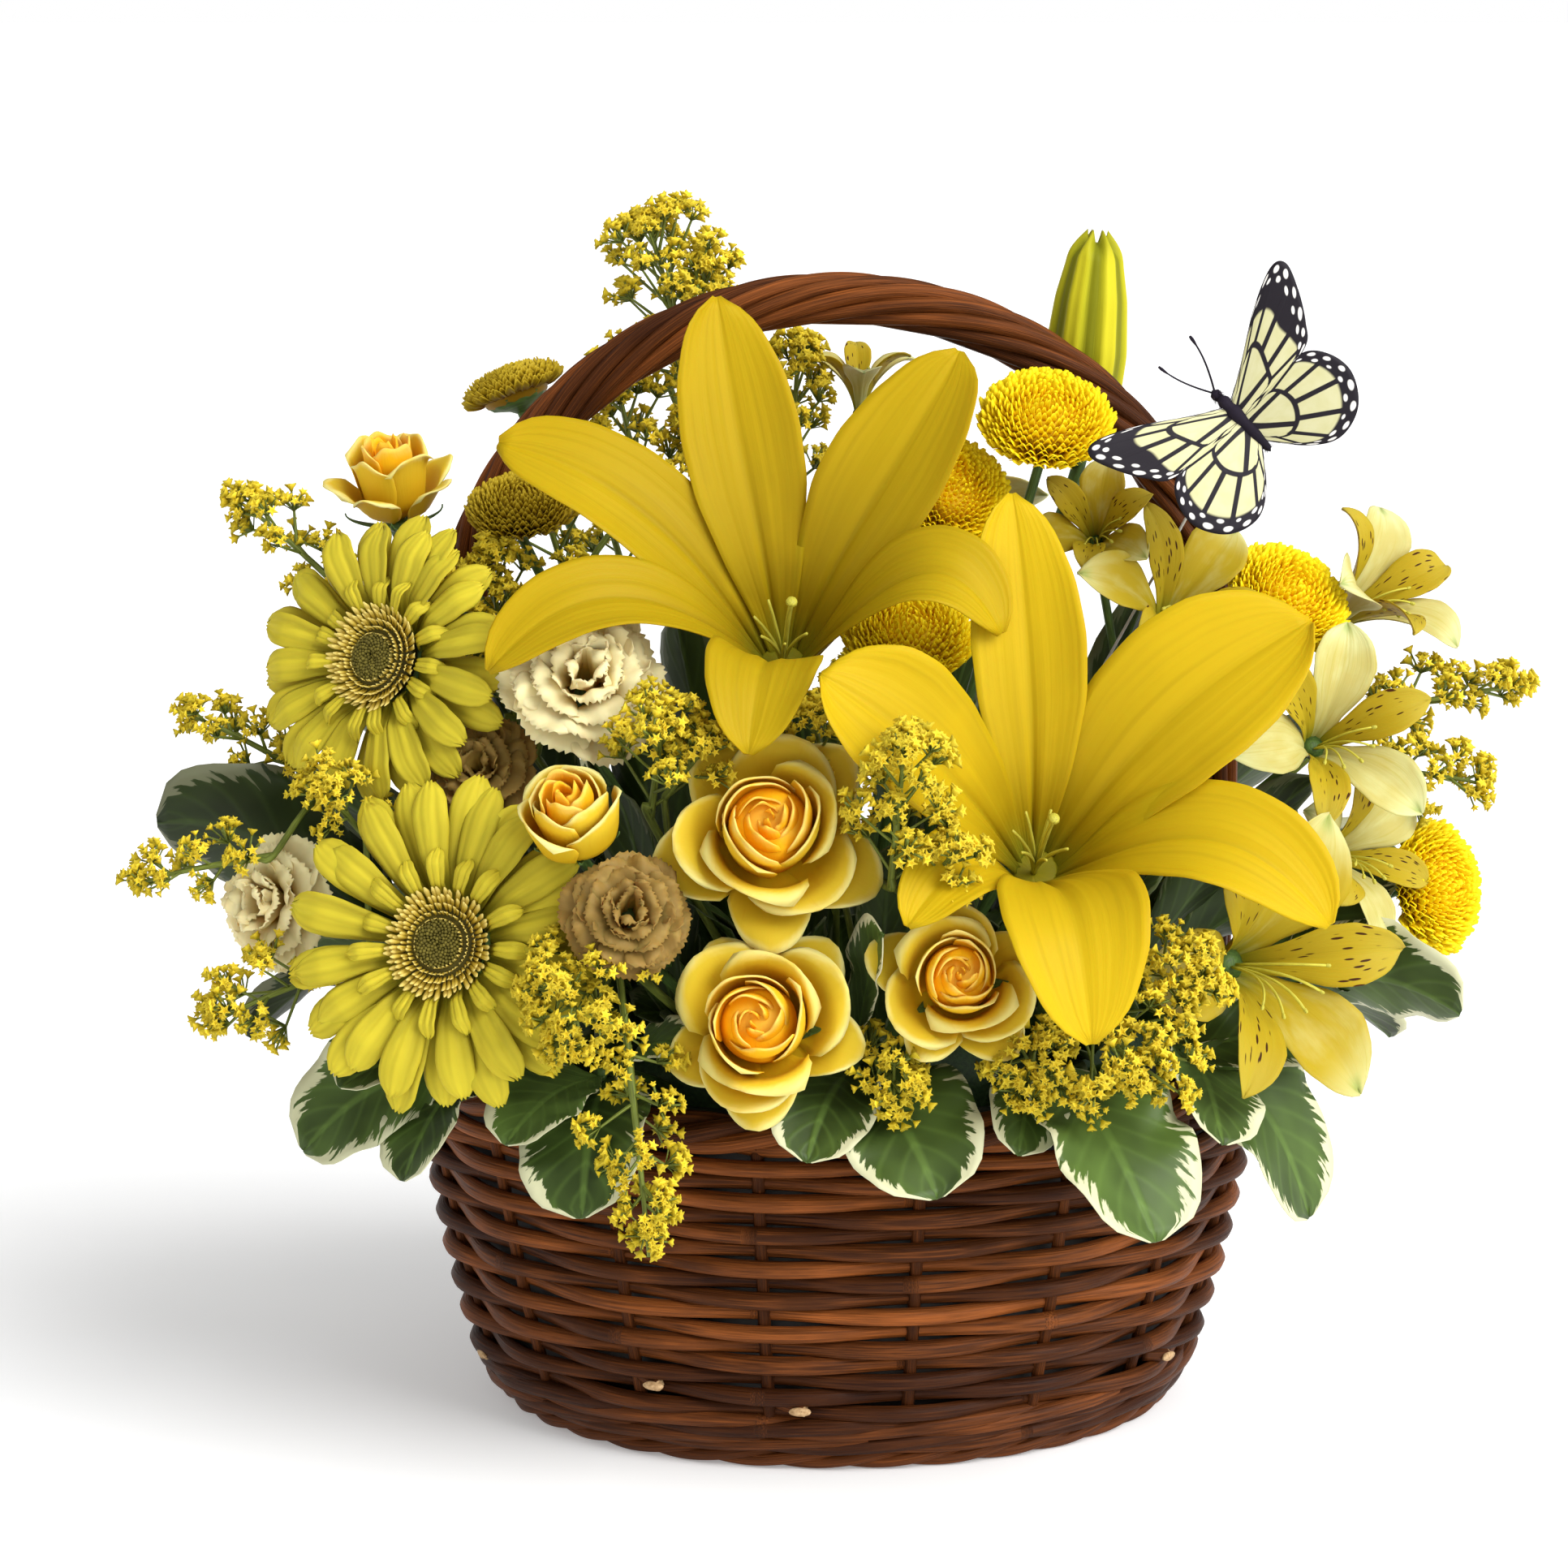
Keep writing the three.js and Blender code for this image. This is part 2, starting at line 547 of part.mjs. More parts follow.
// A stem stands in its hole in the foam and points away from the focus, over the rim where it has to.
// It gives its rings, so that a head can grow out of the last one, its solid, and where a shoot may fork off.
function stem(owner, foot, radius, { face = null, sway = [0, 0] } = {}) {
  const sides = radius > 2.1 ? 4 : 3;
  const focus = v3(FOCUS);
  const end = v3(foot);
  const neck = face ? along(end, unit(face), -3 * radius) : end;
  const heading = neck.clone().sub(focus);
  const across = heading.clone().cross(new THREE.Vector3(0, 0, 1)).normalize();
  const over = across.clone().cross(heading).normalize();
  const ratio = 128 / Math.max(ovalRadius(neck), 1);
  const knee = focus.clone().lerp(neck, Math.min(0.62, ratio * 0.85));
  if (ratio < 1) knee.copy(focus).lerp(neck, ratio).setZ(Math.max(lerp(focus.z, neck.z, ratio), RIM_CLEAR_Z));
  knee.addScaledVector(across, sway[0]).addScaledVector(over, sway[1]);
  const way = knee.clone().sub(focus).normalize();
  let surface = 0;
  while (inFoam(along(focus, way, surface))) surface += 1;
  if (knee.distanceTo(focus) < surface + 5) knee.copy(along(focus, way, surface + 5));
  const start = along(focus, way, surface - STEM_DEPTH);
  const path = face ? [end, neck, knee, start] : [neck, knee, start];
  const rings = ringsUp(path, radius, sides, face ? facing(face).right : null);
  const bore = [along(start, way, -1), along(focus, way, surface + 3)];
  const firstSide = along(rings[0][0], start, -1);
  holes.push(loft(tubeRings(bore, [radius + 0.7, radius + 0.7], sides, firstSide)));
  return { rings, solid: claim(owner, loft(rings), true), fork: neck.clone().lerp(knee, 0.25) };
}

// A shoot that leaves a stem at its fork.
function sideShoot(name, fork, foot, radius, { face, rise = 0 }) {
  const neck = along(foot, unit(face), -3 * radius);
  const middle = along(fork.clone().lerp(neck, 0.5), [0, 0, 1], rise);
  const rings = ringsUp([foot, neck, middle, fork], radius, 3, facing(face).right);
  claim(name, loft(rings));
  return { rings };
}

// ---------------------------------------------------------------- petals
// Half-width along a blade as a share of its widest, from root to tip.
const SHAPES = {
  lily: [0.15, 0.62, 1, 0.78, 0],
  leaf: [0.07, 0.72, 1, 0.8, 0],
};

// Rows of points for a blade that leaves its root along an axis and bends over its shoulder to its tip.
function bladeRows({ root, axis, shoulder, tip, half, shape, cols, cup = 0.25, wave = 0, bend = 0 }) {
  const start = v3(root);
  const end = v3(tip);
  const lean = v3(axis).normalize();
  const side = lean.clone().cross(end.clone().sub(start)).normalize();
  const swing = (p) => v3(p).sub(start).applyAxisAngle(side, THREE.MathUtils.degToRad(bend)).add(start);
  const [far, mid] = [swing(end), swing(shoulder)];
  const near = along(start, lean, start.distanceTo(mid) * 0.55);
  const curve = new THREE.CubicBezierCurve3(start, near, mid, far);
  const n = shape.length - 1;
  return shape.map((share, i) => {
    const p = curve.getPoint(i / n);
    if (i === n) return [p];
    const ahead = curve.getTangent(i / n);
    const normal = side.clone().cross(ahead).negate();
    return Array.from({ length: cols }, (_, c) => {
      const k = (c / (cols - 1)) * 2 - 1;
      const ripple = wave * half * (i % 2 ? 1 : -1) * Math.abs(k);
      return along(along(p, side, k * half * share), normal, (cup * k * k * half * share) + ripple);
    });
  });
}

function lily(name, { at, face, tepals }) {
  const axis = unit(face);
  const root = along(at, axis, -34);
  const { point } = facing(face);
  const funnel = [[2, 3.4], [9, 5.6], [17, 9]];
  const throat = funnel.map(([h, r]) => Array.from({ length: 6 }, (_, k) => point(root, r, h, turn(k, 6))));
  throat.push([point(root, 0, 13, 0)]);
  const heart = loft([...stem(name, root, 2.8, { face }).rings, ...throat]);
  remember(name, heart);
  const blades = tepals.map(({ tip, shoulder, half }, i) => {
    const out = v3(tip).sub(root);
    out.addScaledVector(axis, -out.dot(axis)).normalize();
    const inner = i % 3 === 0 || i === 4; // three tepals lie over the other three
    const rows = bladeRows({
      root: along(along(root, axis, inner ? 12 : 10), out, inner ? 4.4 : 5.2),
      axis: along(axis, out, 0.5),
      shoulder: along(shoulder, axis, inner ? 2 : 0),
      tip,
      half,
      shape: SHAPES.lily,
      cols: 5,
      cup: 0.28,
    });
    return claim(name, blade(rows, 1.7));
  });
  return [heart, ...blades];
}

// A bud that is about to open: six ribs that close on three blunt tips.
function lilyBud(name) {
  const { foot, tip, radius } = LILY_BUD;
  const axis = v3(tip).sub(v3(foot));
  const length = axis.length();
  axis.normalize();
  const { point } = facing(axis);
  const profile = [[0, 0.2], [0.12, 0.5], [0.35, 0.88], [0.6, 1], [0.85, 0.9], [0.96, 0.7], [1, 0.35]];
  const rings = profile.map(([s, k], i) =>
    Array.from({ length: 12 }, (_, j) => {
      const r = radius * k * (j % 2 ? 0.86 : 1);
      const crest = i >= 5 && j % 4 === 2 ? 3 : 0;
      return point(foot, r, s * length + crest, turn(j, 12));
    }),
  );
  claim(name, loft(rings));
  return [loft([...stem(name, foot, 2.6, { face: axis }).rings, ...rings.slice(1)])];
}

// A frame round a facing direction: two sides across it and a point by radius, height and angle.
function facing(face) {
  const axis = unit(face);
  const right = new THREE.Vector3(0, 0, 1).cross(axis);
  if (right.length() < 0.2) right.set(1, 0, 0).addScaledVector(axis, -axis.x);
  right.normalize();
  const up = axis.clone().cross(right);
  const aside = (p, r, a) => along(along(p, right, r * Math.cos(a)), up, r * Math.sin(a));
  const point = (centre, r, h, a) => aside(along(centre, axis, h), r, a);
  return { axis, right, up, point };
}

// The skin of a bloom: every column runs from the calyx round the petals' edges to the heart,
// as pairs of radius and height, with a third number where a point leaves its column sideways.
function bloomSkin(at, face, columns, foot, heart, profile) {
  const { point } = facing(face);
  const lines = Array.from({ length: columns }, (_, k) => profile(k));
  const angle = (k, aside = 0) => turn(k + aside, columns);
  const spot = ([r, h, aside], k) => point(at, r, h, angle(k, aside));
  const rings = lines[0].map((_, i) => lines.map((line, k) => spot(line[i], k)));
  return [[point(at, 0, foot, 0)], ...rings, [point(at, 0, heart, 0)]];
}

// The skin closed with a ring as wide as the stem in place of its foot, which is how it ends up.
function onNeck([foot, ...rest], face, radius) {
  const { point } = facing(face);
  return loft([Array.from({ length: 4 }, (_, k) => point(foot[0], radius, 0, turn(k, 4))), ...rest]);
}

// Grows a head out of the last ring of its stem.
function headOnStem(name, { face, sway }, radius, skin) {
  claim(name, onNeck(skin, face, radius));
  const [foot, ...rest] = skin;
  return [loft([...stem(name, foot[0], radius, { face, sway }).rings, ...rest])];
}

// A gerbera: an outer layer of long rays, a shorter layer between them, and a cup for the eye.
function gerbera(name, one, seed) {
  const { at, face, radius: R } = one;
  const jitter = numbers(seed);
  const rays = 18;
  const reach = Array.from({ length: rays }, () => 1 + (jitter() - 0.5) * 0.08);
  const sway = Array.from({ length: rays }, () => (jitter() - 0.5) * 2.4);
  const outer = (k) => [
    [8.5, -9], [0.6 * R, -2.2 + sway[k]], [R * reach[k], 0.6 + sway[k]], [0.56 * R, 3 + sway[k]],
  ];
  const inner = (k) => [
    [8.5, -9], [0.56 * R, -3.6], [0.66 * R, -2.6], [0.86 * R * reach[k], 5.6 + sway[k]],
  ];
  const cup = [[GERBERA_EYE + 1.4, 2.6], [GERBERA_EYE - 2.4, -2.2]];
  const profile = (k) => [...(k % 2 ? inner : outer)(k >> 1), ...cup];
  return headOnStem(name, one, 2.4, bloomSkin(at, face, rays * 2, -13, -2.2, profile));
}

// The eye: a dark button inside a raised ring of short florets.
function gerberaEye({ at, face }) {
  const R = GERBERA_EYE;
  return bloomSkin(at, face, 18, -1.7, 1.6, (k) => {
    const ridge = k % 2 ? [[R - 0.3, 3.4], [R - 3, 4.6]] : [[R - 1.6, 2.4], [R - 3, 3]];
    return [[R - 3.8, -1.6], ...ridge, [R * 0.55, 1.6]];
  });
}

// A rose: whorls of petals in one skin. Each petal spans three columns, and its edge steps out over the next.
function rose(name, one, seed) {
  const { at, face, radius: R, furled } = one;
  const jitter = numbers(seed);
  const petals = 5;
  const ragged = Array.from({ length: petals * 3 }, () => 1 + (jitter() - 0.5) * 0.07);
  const step = (k, lag) => [0.09, 0.02, -0.07][(k + lag) % 3];
  const lobe = (k, lag) => ((k + lag) % 3 === 1 ? 1 : 0);
  const open = (k) => [
    [0.2, -0.6], [0.66, -0.4], [(0.84 + 0.16 * lobe(k, 0)) * ragged[k], -0.14 + 0.1 * step(k, 0)],
    [0.74 + step(k, 0) * 0.6, -0.02], [0.55 + step(k, 1) * 0.5, -0.2],
    [0.58 + step(k, 1), 0.12 + 0.07 * lobe(k, 1)],
    [0.4, 0.02], [0.33 + step(k, 2) * 0.8, 0.23 + 0.04 * lobe(k, 2)], [0.17, 0.12],
  ];
  const bud = (k) => [
    [0.3, -1.15], [0.92, -0.55], [0.84 + 0.12 * lobe(k, 0) + step(k, 0), 0.3 + 0.18 * lobe(k, 0) * ragged[k]],
    [0.6 + step(k, 1) * 0.5, 0.12], [0.52 + step(k, 1), 0.6 + 0.12 * lobe(k, 1)], [0.24, 0.4],
  ];
  const spread = (k) => [
    [0.3, -1.1], [0.7, -0.6], [(k % 3 === 1 ? 1.25 : 0.95) * ragged[k], k % 3 === 1 ? -0.05 : -0.15],
    [0.66, 0.05], [0.62 + step(k, 1), 0.42 + 0.14 * lobe(k, 1)], [0.42, 0.3], [0.36 + step(k, 2), 0.6],
    [0.16, 0.45],
  ];
  const forms = { open: [open, -0.72, 0.18], bud: [bud, -1.25, 0.66], spread: [spread, -1.25, 0.5] };
  const [form, foot, heart] = forms[furled ?? "open"];
  const profile = (k) => form(k).map(([r, h]) => [r * R, h * R]);
  return headOnStem(name, one, 2.2, bloomSkin(at, face, petals * 3, foot * R, heart * R, profile));
}

// A pompon mum: rings of short florets stand out of the head, raised by a formula.
function mum(name, one) {
  const { at, face, radius: R } = one;
  const dome = [[0.72, -0.32], [1, -0.12], [0.95, 0.12], [0.74, 0.32], [0.44, 0.44]];
  const profile = (k) =>
    dome.map(([r, h], i) => {
      const raised = (k + i) % 2 ? 1.06 : 0.85;
      return [r * R * raised, h * R * (i > 1 ? raised : 1)];
    });
  return headOnStem(name, one, 1.8, bloomSkin(at, face, 14, -0.42 * R, 0.46 * R, profile));
}

// One funnel-shaped flower: three broad outer petals and three narrow inner ones, with notches between.
function alstroemeriaSkin({ at, face, size: S, spin, furled = 0 }) {
  const turned = THREE.MathUtils.degToRad(spin) / ((Math.PI * 2) / 24);
  const shut = (r, h) => [r * (1 - furled * 0.55) * S, (h + furled * Math.max(0, r - 6) * 0.8) * S];
  const profile = (k) => {
    const broad = (k >> 2) % 2 === 0;
    const part = k % 4; // 0 is the notch, 2 the tip, and 1 and 3 the shoulders
    const reach = broad ? 34 : 30;
    const rise = broad ? 2 : 8;
    const [under, edge, over] = {
      0: [[6.5, -6], [0.34 * reach, -1.5], [0.3 * reach, -0.2]],
      1: [[0.5 * reach, -2.5 + rise / 2], [0.78 * reach, rise - 2], [0.5 * reach, rise / 2 + 0.5]],
      2: [[0.6 * reach, -1 + rise / 2], [reach, rise], [0.6 * reach, rise / 2 + 2.6]],
      3: [[0.5 * reach, -2.5 + rise / 2], [0.78 * reach, rise - 2], [0.5 * reach, rise / 2 + 0.5]],
    }[part];
    const aside = broad ? [0, -0.36, 0, 0.36][part] : 0;
    const calyx = [...shut(3, -15), turned];
    return [calyx, ...[under, edge, over].map(([r, h]) => [...shut(r, h), aside + turned])];
  };
  return bloomSkin(at, face, 24, -20 * S, -9 * S, profile);
}

function alstroemeria(name, flowers) {
  let fork = null;
  return flowers.map((flower, i) => {
    const skin = alstroemeriaSkin(flower);
    claim(name, onNeck(skin, flower.face, 1.9));
    const [foot, ...rest] = skin;
    const below = i ? sideShoot(name, fork, foot[0], 1.7, flower) : stem(name, foot[0], 1.9, flower);
    fork ??= below.fork;
    return loft([...below.rings, ...rest]);
  });
}

// A carnation: three whorls of petals with notched edges that ruffle up and down.
function carnation(name, one, seed) {
  const { at, face, radius: R } = one;
  const jitter = numbers(seed);
  const columns = 16;
  const ragged = Array.from({ length: columns }, () => (jitter() - 0.5) * 0.16);
  const profile = (k) => {
    const fold = k % 2 ? 1 : -1;
    const slow = Math.sin(turn(k * 3, columns)) * 0.06;
    const claw = [[0.2, -0.85], [0.27, -0.35], [0.66, -0.14 + fold * 0.05]];
    const rim = [0.94 + fold * 0.06 + ragged[k], slow + fold * 0.1];
    const upper = [0.72 - fold * 0.05 + ragged[(k + 5) % columns], 0.36 - slow - fold * 0.1];
    const heart = [[0.38, 0.36], [0.4 + fold * 0.05, 0.6 + fold * 0.1]];
    return [...claw, rim, [0.66, 0.16 + fold * 0.05], upper, ...heart].map(([r, h]) => [r * R, h * R]);
  };
  return headOnStem(name, one, 1.8, bloomSkin(at, face, columns, -1.05 * R, 0.46 * R, profile));
}

// ---------------------------------------------------------------- foliage
// A twig of goldenrod: pointed grains one after another, raised from the twig by a formula. It starts
// at a point inside what it grows from.
function beads(from, way, bare, length, grains, size) {
  const { point } = facing(way);
  const ring = (r, h, shift) => Array.from({ length: 3 }, (_, k) => point(from, r, h, turn(k + shift, 3)));
  const rings = [[point(from, 0, -0.4, 0)]];
  for (let g = 0; g < grains; g++) {
    const [low, middle] = [g, g + 0.6].map((t) => lerp(bare, 1, t / grains) * length);
    if (g || bare > 0.5) rings.push(ring(1.1, low, g * 0.5));
    rings.push(ring(size * (1 - 0.12 * g), middle, g * 0.5 + 0.25));
  }
  return [...rings, [point(from, 0, length + size * 0.3, 0)]];
}

// A spray of plumes. Its stem or a side shoot comes up under each spine, and beaded twigs leave it all round.
function goldenrod(name, plumes, seed) {
  let fork = null;
  return plumes.flatMap(({ foot, tip, spread, twigs, sway, rise }, i) => {
    const span = v3(tip).sub(v3(foot));
    const face = span.clone().normalize();
    const spine = beads(v3(foot), face, 0.72, span.length(), 2, 3.4);
    claim(name, onNeck(spine, face, 1.6));
    const below = i
      ? sideShoot(name, fork, v3(foot), 1.4, { face, rise })
      : stem(name, foot, 1.5, { face, sway });
    fork ??= below.fork;
    const plume = loft([...below.rings, ...spine.slice(1)]);
    return [plume, ...plumeTwigs(name, v3(foot), face, span.length(), spread, twigs, seed + i)];
  });
}

// Twigs that have no room are left out.
function plumeTwigs(name, start, axis, length, spread, twigs, seed) {
  const jitter = numbers(seed);
  const { point } = facing(axis);
  const grown = [];
  for (let b = 0; b < twigs; b++) {
    const t = lerp(0.12, 0.66, b / Math.max(twigs - 1, 1));
    const a = b * 2.4 + jitter() * 0.7;
    const reach = spread * lerp(1.05, 0.7, t * t) * (0.85 + 0.3 * jitter());
    const way = point([0, 0, 0], 1, 0.7, a).normalize();
    const twig = loft(beads(along(start, axis, t * length), way, 0.15, reach, 2, 3.4));
    if (neighbour(name, twig)) continue;
    remember(name, twig);
    grown.push(twig);
  }
  return grown;
}

// A leafy sprig. Beyond its root each leaf is held against the sprig's other leaves too.
function sprig(name, { crown, leaves }) {
  const heart = v3(crown);
  const out = heart.clone().sub(v3(FOCUS)).setZ(0).normalize();
  const blades = leaves.map(({ tip, half, bend }, i) => {
    const span = v3(tip).sub(heart);
    const rows = bladeRows({
      root: heart.clone().lerp(v3(FOCUS), 0.02 + i * 0.026),
      axis: out.clone().multiplyScalar(0.5).add(span.clone().normalize()).add(new THREE.Vector3(0, 0, 0.5)),
      shoulder: along(heart.clone().lerp(v3(tip), 0.62), [0, 0, 1], Math.max(4, span.length() * 0.22)),
      tip,
      half,
      shape: SHAPES.leaf,
      cols: 3,
      cup: 0.2,
      wave: 0.09,
      bend,
    });
    claim(name + "/" + i, blade(rows.slice(1), LEAF_THICKNESS));
    return claim(name, blade(rows, LEAF_THICKNESS));
  });
  return [stem(name, heart, 2.2).solid, ...blades];
}

// ---------------------------------------------------------------- butterfly
// A wing's outline in the wing's own plane: x away from the body, y towards the head.
const WINGS = {
  fore: [
    [-1.2, 4.5], [11.5, 12], [26.5, 22], [38.5, 27.5], [42.5, 25], [39.5, 16.5], [34.5, 8], [29, 2.5],
    [13.5, 0], [-1.2, -2],
  ],
  hind: [[-1.2, 1], [14, 1.5], [27, 2], [33, -4], [34, -13], [28, -22], [18, -25], [9, -20], [-1.2, -8]],
};

function wingSolid(outline, mirror, frame) {
  const shape = new THREE.Shape(outline.map(([x, y]) => new THREE.Vector2(x, y)));
  const flat = new THREE.ExtrudeGeometry(shape, { depth: BUTTERFLY.wing, bevelEnabled: false });
  const lift = THREE.MathUtils.degToRad(BUTTERFLY.dihedral);
  const place = new THREE.Matrix4().makeBasis(
    frame.right.clone().multiplyScalar(mirror * Math.cos(lift)).addScaledVector(frame.up, Math.sin(lift)),
    frame.ahead,
    frame.up.clone(),
  );
  place.setPosition(along(frame.at, frame.up, -0.2));
  return closed(flat.applyMatrix4(place));
}

function butterflyFrame() {
  const ahead = unit(BUTTERFLY.ahead);
  const up = v3(BUTTERFLY.up).addScaledVector(ahead, -v3(BUTTERFLY.up).dot(ahead)).normalize();
  return { at: v3(BUTTERFLY.at), ahead, up, right: ahead.clone().cross(up) };
}

function butterfly() {
  const { ahead, right, up, at } = butterflyFrame();
  const { bodyLength: L, bodyRadius: r } = BUTTERFLY;
  const frame = { ahead, right, up, at };
  const wings = [1, -1].flatMap((m) => [wingSolid(WINGS.fore, m, frame), wingSolid(WINGS.hind, m, frame)]);
  wings.forEach((w) => claim("butterfly_wings", w));
  const below = (k) => along(along(at, ahead, k * L), up, -r - 0.75);
  const girth = [[-0.55, 0], [-0.4, 0.7], [-0.1, 0.85], [0.15, 1], [0.3, 0.5], [0.36, 0.8], [0.45, 0]];
  const trunk = tube(girth.map(([k]) => below(k)), girth.map(([, share]) => share * r), 6);
  const feelers = [1, -1].map((m) => {
    const head = below(0.38);
    const middle = along(along(head, ahead, 8), right, m * 4);
    return tube([head, middle, along(along(head, ahead, 20), right, m * 7)], [0.7, 0.6, 0.6], 3);
  });
  const body = [trunk, ...feelers];
  body.forEach((b) => remember("butterfly_body", b));
  return { wings, body, hook: along(below(0), up, -r - 1.1) };
}

// ---------------------------------------------------------------- assembly
const basket = [
  ["basket_base", basketBase(), COLOUR.willowDark],
  ["basket_side", basketSide(), COLOUR.willow],
  ["basket_rim", basketRim(), COLOUR.willow],
  ["handle", handle(), COLOUR.willow],
  ["liner", liner(), COLOUR.liner],
];
for (const [name, solid, colour] of basket) {
  remember(name, solid);
  addNode(name, [solid], colour, 0.55);
}
const foamBlock = turned(foamProfile, ROUND);
remember("foam", foamBlock);
const gripSize = new THREE.Vector3(...GRIP.high).sub(new THREE.Vector3(...GRIP.low));
const grip = new THREE.BoxGeometry(...gripSize).translate(...along(GRIP.low, gripSize, 0.5));
remember("room for the fingers", closed(grip));

const plants = [];
const grow = (name, solids, colour) => plants.push([name, solids, colour]);
const growAll = (table, make, colour, seed = 0, step = 1) =>
  Object.entries(table).forEach(([name, one], i) => grow(name, make(name, one, seed + i * step), colour));

for (const [name, one] of Object.entries(GERBERAS)) {
  grow(name + "_eye", [claim(name + "_eye", loft(gerberaEye(one)))], COLOUR.eye);
}
const { wings, body, hook } = butterfly();
grow("butterfly_wings", wings, COLOUR.wing);
grow("butterfly_body", body, COLOUR.body);
grow("butterfly_wire", [stem("butterfly_wire", hook, 0.8, { sway: [-7, 0] }).solid], COLOUR.wire);
growAll(LILIES, lily, COLOUR.lily);
grow("lily_bud", lilyBud("lily_bud"), COLOUR.bud);
growAll(GERBERAS, gerbera, COLOUR.gerbera, 11);
growAll(ROSES, rose, COLOUR.rose, 21);
growAll(MUMS, mum, COLOUR.mum);
growAll(ALSTROEMERIAS, alstroemeria, COLOUR.alstroemeria);
growAll(CARNATIONS, carnation, COLOUR.carnation, 61);
growAll(SPRIGS, sprig, COLOUR.leaf);
growAll(GOLDENROD, goldenrod, COLOUR.goldenrod, 91, 3);

addNode("foam", [foamBlock.subtract(Manifold.union(holes))], COLOUR.foam, 0.9);
plants.forEach(([name, solids, colour]) => addNode(name, solids, colour));

export default group;
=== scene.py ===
"""A willow basket of cut flowers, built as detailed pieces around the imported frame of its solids."""

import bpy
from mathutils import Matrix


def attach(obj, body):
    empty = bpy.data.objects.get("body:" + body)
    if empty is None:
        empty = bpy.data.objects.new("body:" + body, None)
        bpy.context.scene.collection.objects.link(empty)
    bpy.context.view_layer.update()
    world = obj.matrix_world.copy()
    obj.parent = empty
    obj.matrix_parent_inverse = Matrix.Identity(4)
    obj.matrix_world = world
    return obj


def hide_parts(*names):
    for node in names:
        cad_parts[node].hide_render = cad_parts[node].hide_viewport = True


bl_info = {
    "name": "Flower Basket Arrangement",
    "version": (1, 0, 0),
    "blender": (4, 5, 0),
    "location": "View3D > Sidebar > Flower Basket",
    "description": "Builds a willow basket of cut flowers around its packed frame",
    "category": "Add Mesh",
}

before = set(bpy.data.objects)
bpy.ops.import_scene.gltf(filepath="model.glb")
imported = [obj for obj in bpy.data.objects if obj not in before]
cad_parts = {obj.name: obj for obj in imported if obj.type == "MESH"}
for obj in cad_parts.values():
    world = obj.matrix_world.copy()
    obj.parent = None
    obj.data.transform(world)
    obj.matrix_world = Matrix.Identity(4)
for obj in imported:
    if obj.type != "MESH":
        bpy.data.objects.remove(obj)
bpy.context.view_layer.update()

import math

import bpy
import numpy as np
from bpy.props import FloatProperty, FloatVectorProperty, IntProperty, PointerProperty
from mathutils import Vector
from numpy.random import default_rng

# ---------------------------------------------------------------- places, in millimetres
MM = 0.001
TURN = 2 * math.pi
GOLDEN_ANGLE = math.pi * (3 - math.sqrt(5))
UP = np.array([0.0, 0.0, 1.0])
OVAL = 0.85  # the basket's depth over its width
WALL = [(0, 101), (8, 112), (20, 118), (50, 126), (104, 137), (116, 139)]  # height and half-width
STAKES = 17
FLOOR_SPOKES = 12
ROWS = {"count": 19, "low": 1.5, "high": 104}
SEAM = math.pi / 2  # the stake at the back where the rods climb from one row to the next
RIM = {"half_width": 133.5, "z": 111, "offset": 3.5, "rod": 3.1, "strands": 4, "turns": 9}
HANDLE = {"half_span": 121, "spring": 236, "crown": 353, "offset": 5.9, "rod": 2.42, "strands": 8, "turns": 3}
LEGS = [(110, 44), (114.5, 78), (117.6, 111), (120, 170)]  # half-span and height below the hoop
LINER = [(86, 9.4), (106, 112), (104, 112), (84, 11.4), (0.2, 11.4)]  # radius and height
FOAM = [(0.2, 11.9), (83, 11.9), (103, 117), (101, 122), (92, 133), (60, 138), (0.2, 141.5)]
FOCUS = np.array([0.0, 0.0, 78.0])  # every stem points away from this spot in the foam
RIM_CLEAR = 126  # stems that leave over the rim pass it at this height

# Lilies: the throat, the way the flower faces and each tepal's tip, shoulder and half-width.
LILIES = {
    "lily_left": ((-17, -64, 258), (0, -0.72, 0.69), [
        ((-37, -40, 356), (-32, -50, 312), 18),
        ((37, -48, 340), (18, -66, 306), 19),
        ((-103, -60, 313), (-62, -68, 306), 17),
        ((-104, -98, 249), (-72, -92, 287), 14),
        ((48, -88, 259), (30, -86, 297), 15),
        ((-27, -126, 229), (-22, -112, 268), 17),
    ]),
    "lily_right": ((60, -100, 199), (0.05, -0.78, 0.62), [
        ((52, -70, 299), (57, -84, 252), 17),
        ((141, -82, 262), (100, -92, 244), 25),
        ((143, -126, 178), (114, -118, 220), 18),
        ((71, -166, 152), (66, -160, 202), 21),
        ((-6, -124, 252), (20, -124, 236), 22),
        ((19, -146, 182), (37, -134, 209), 13),
    ]),
}
LILY_BUD = {"foot": (77, 22, 300), "tip": (83, 22, 369), "radius": 13}

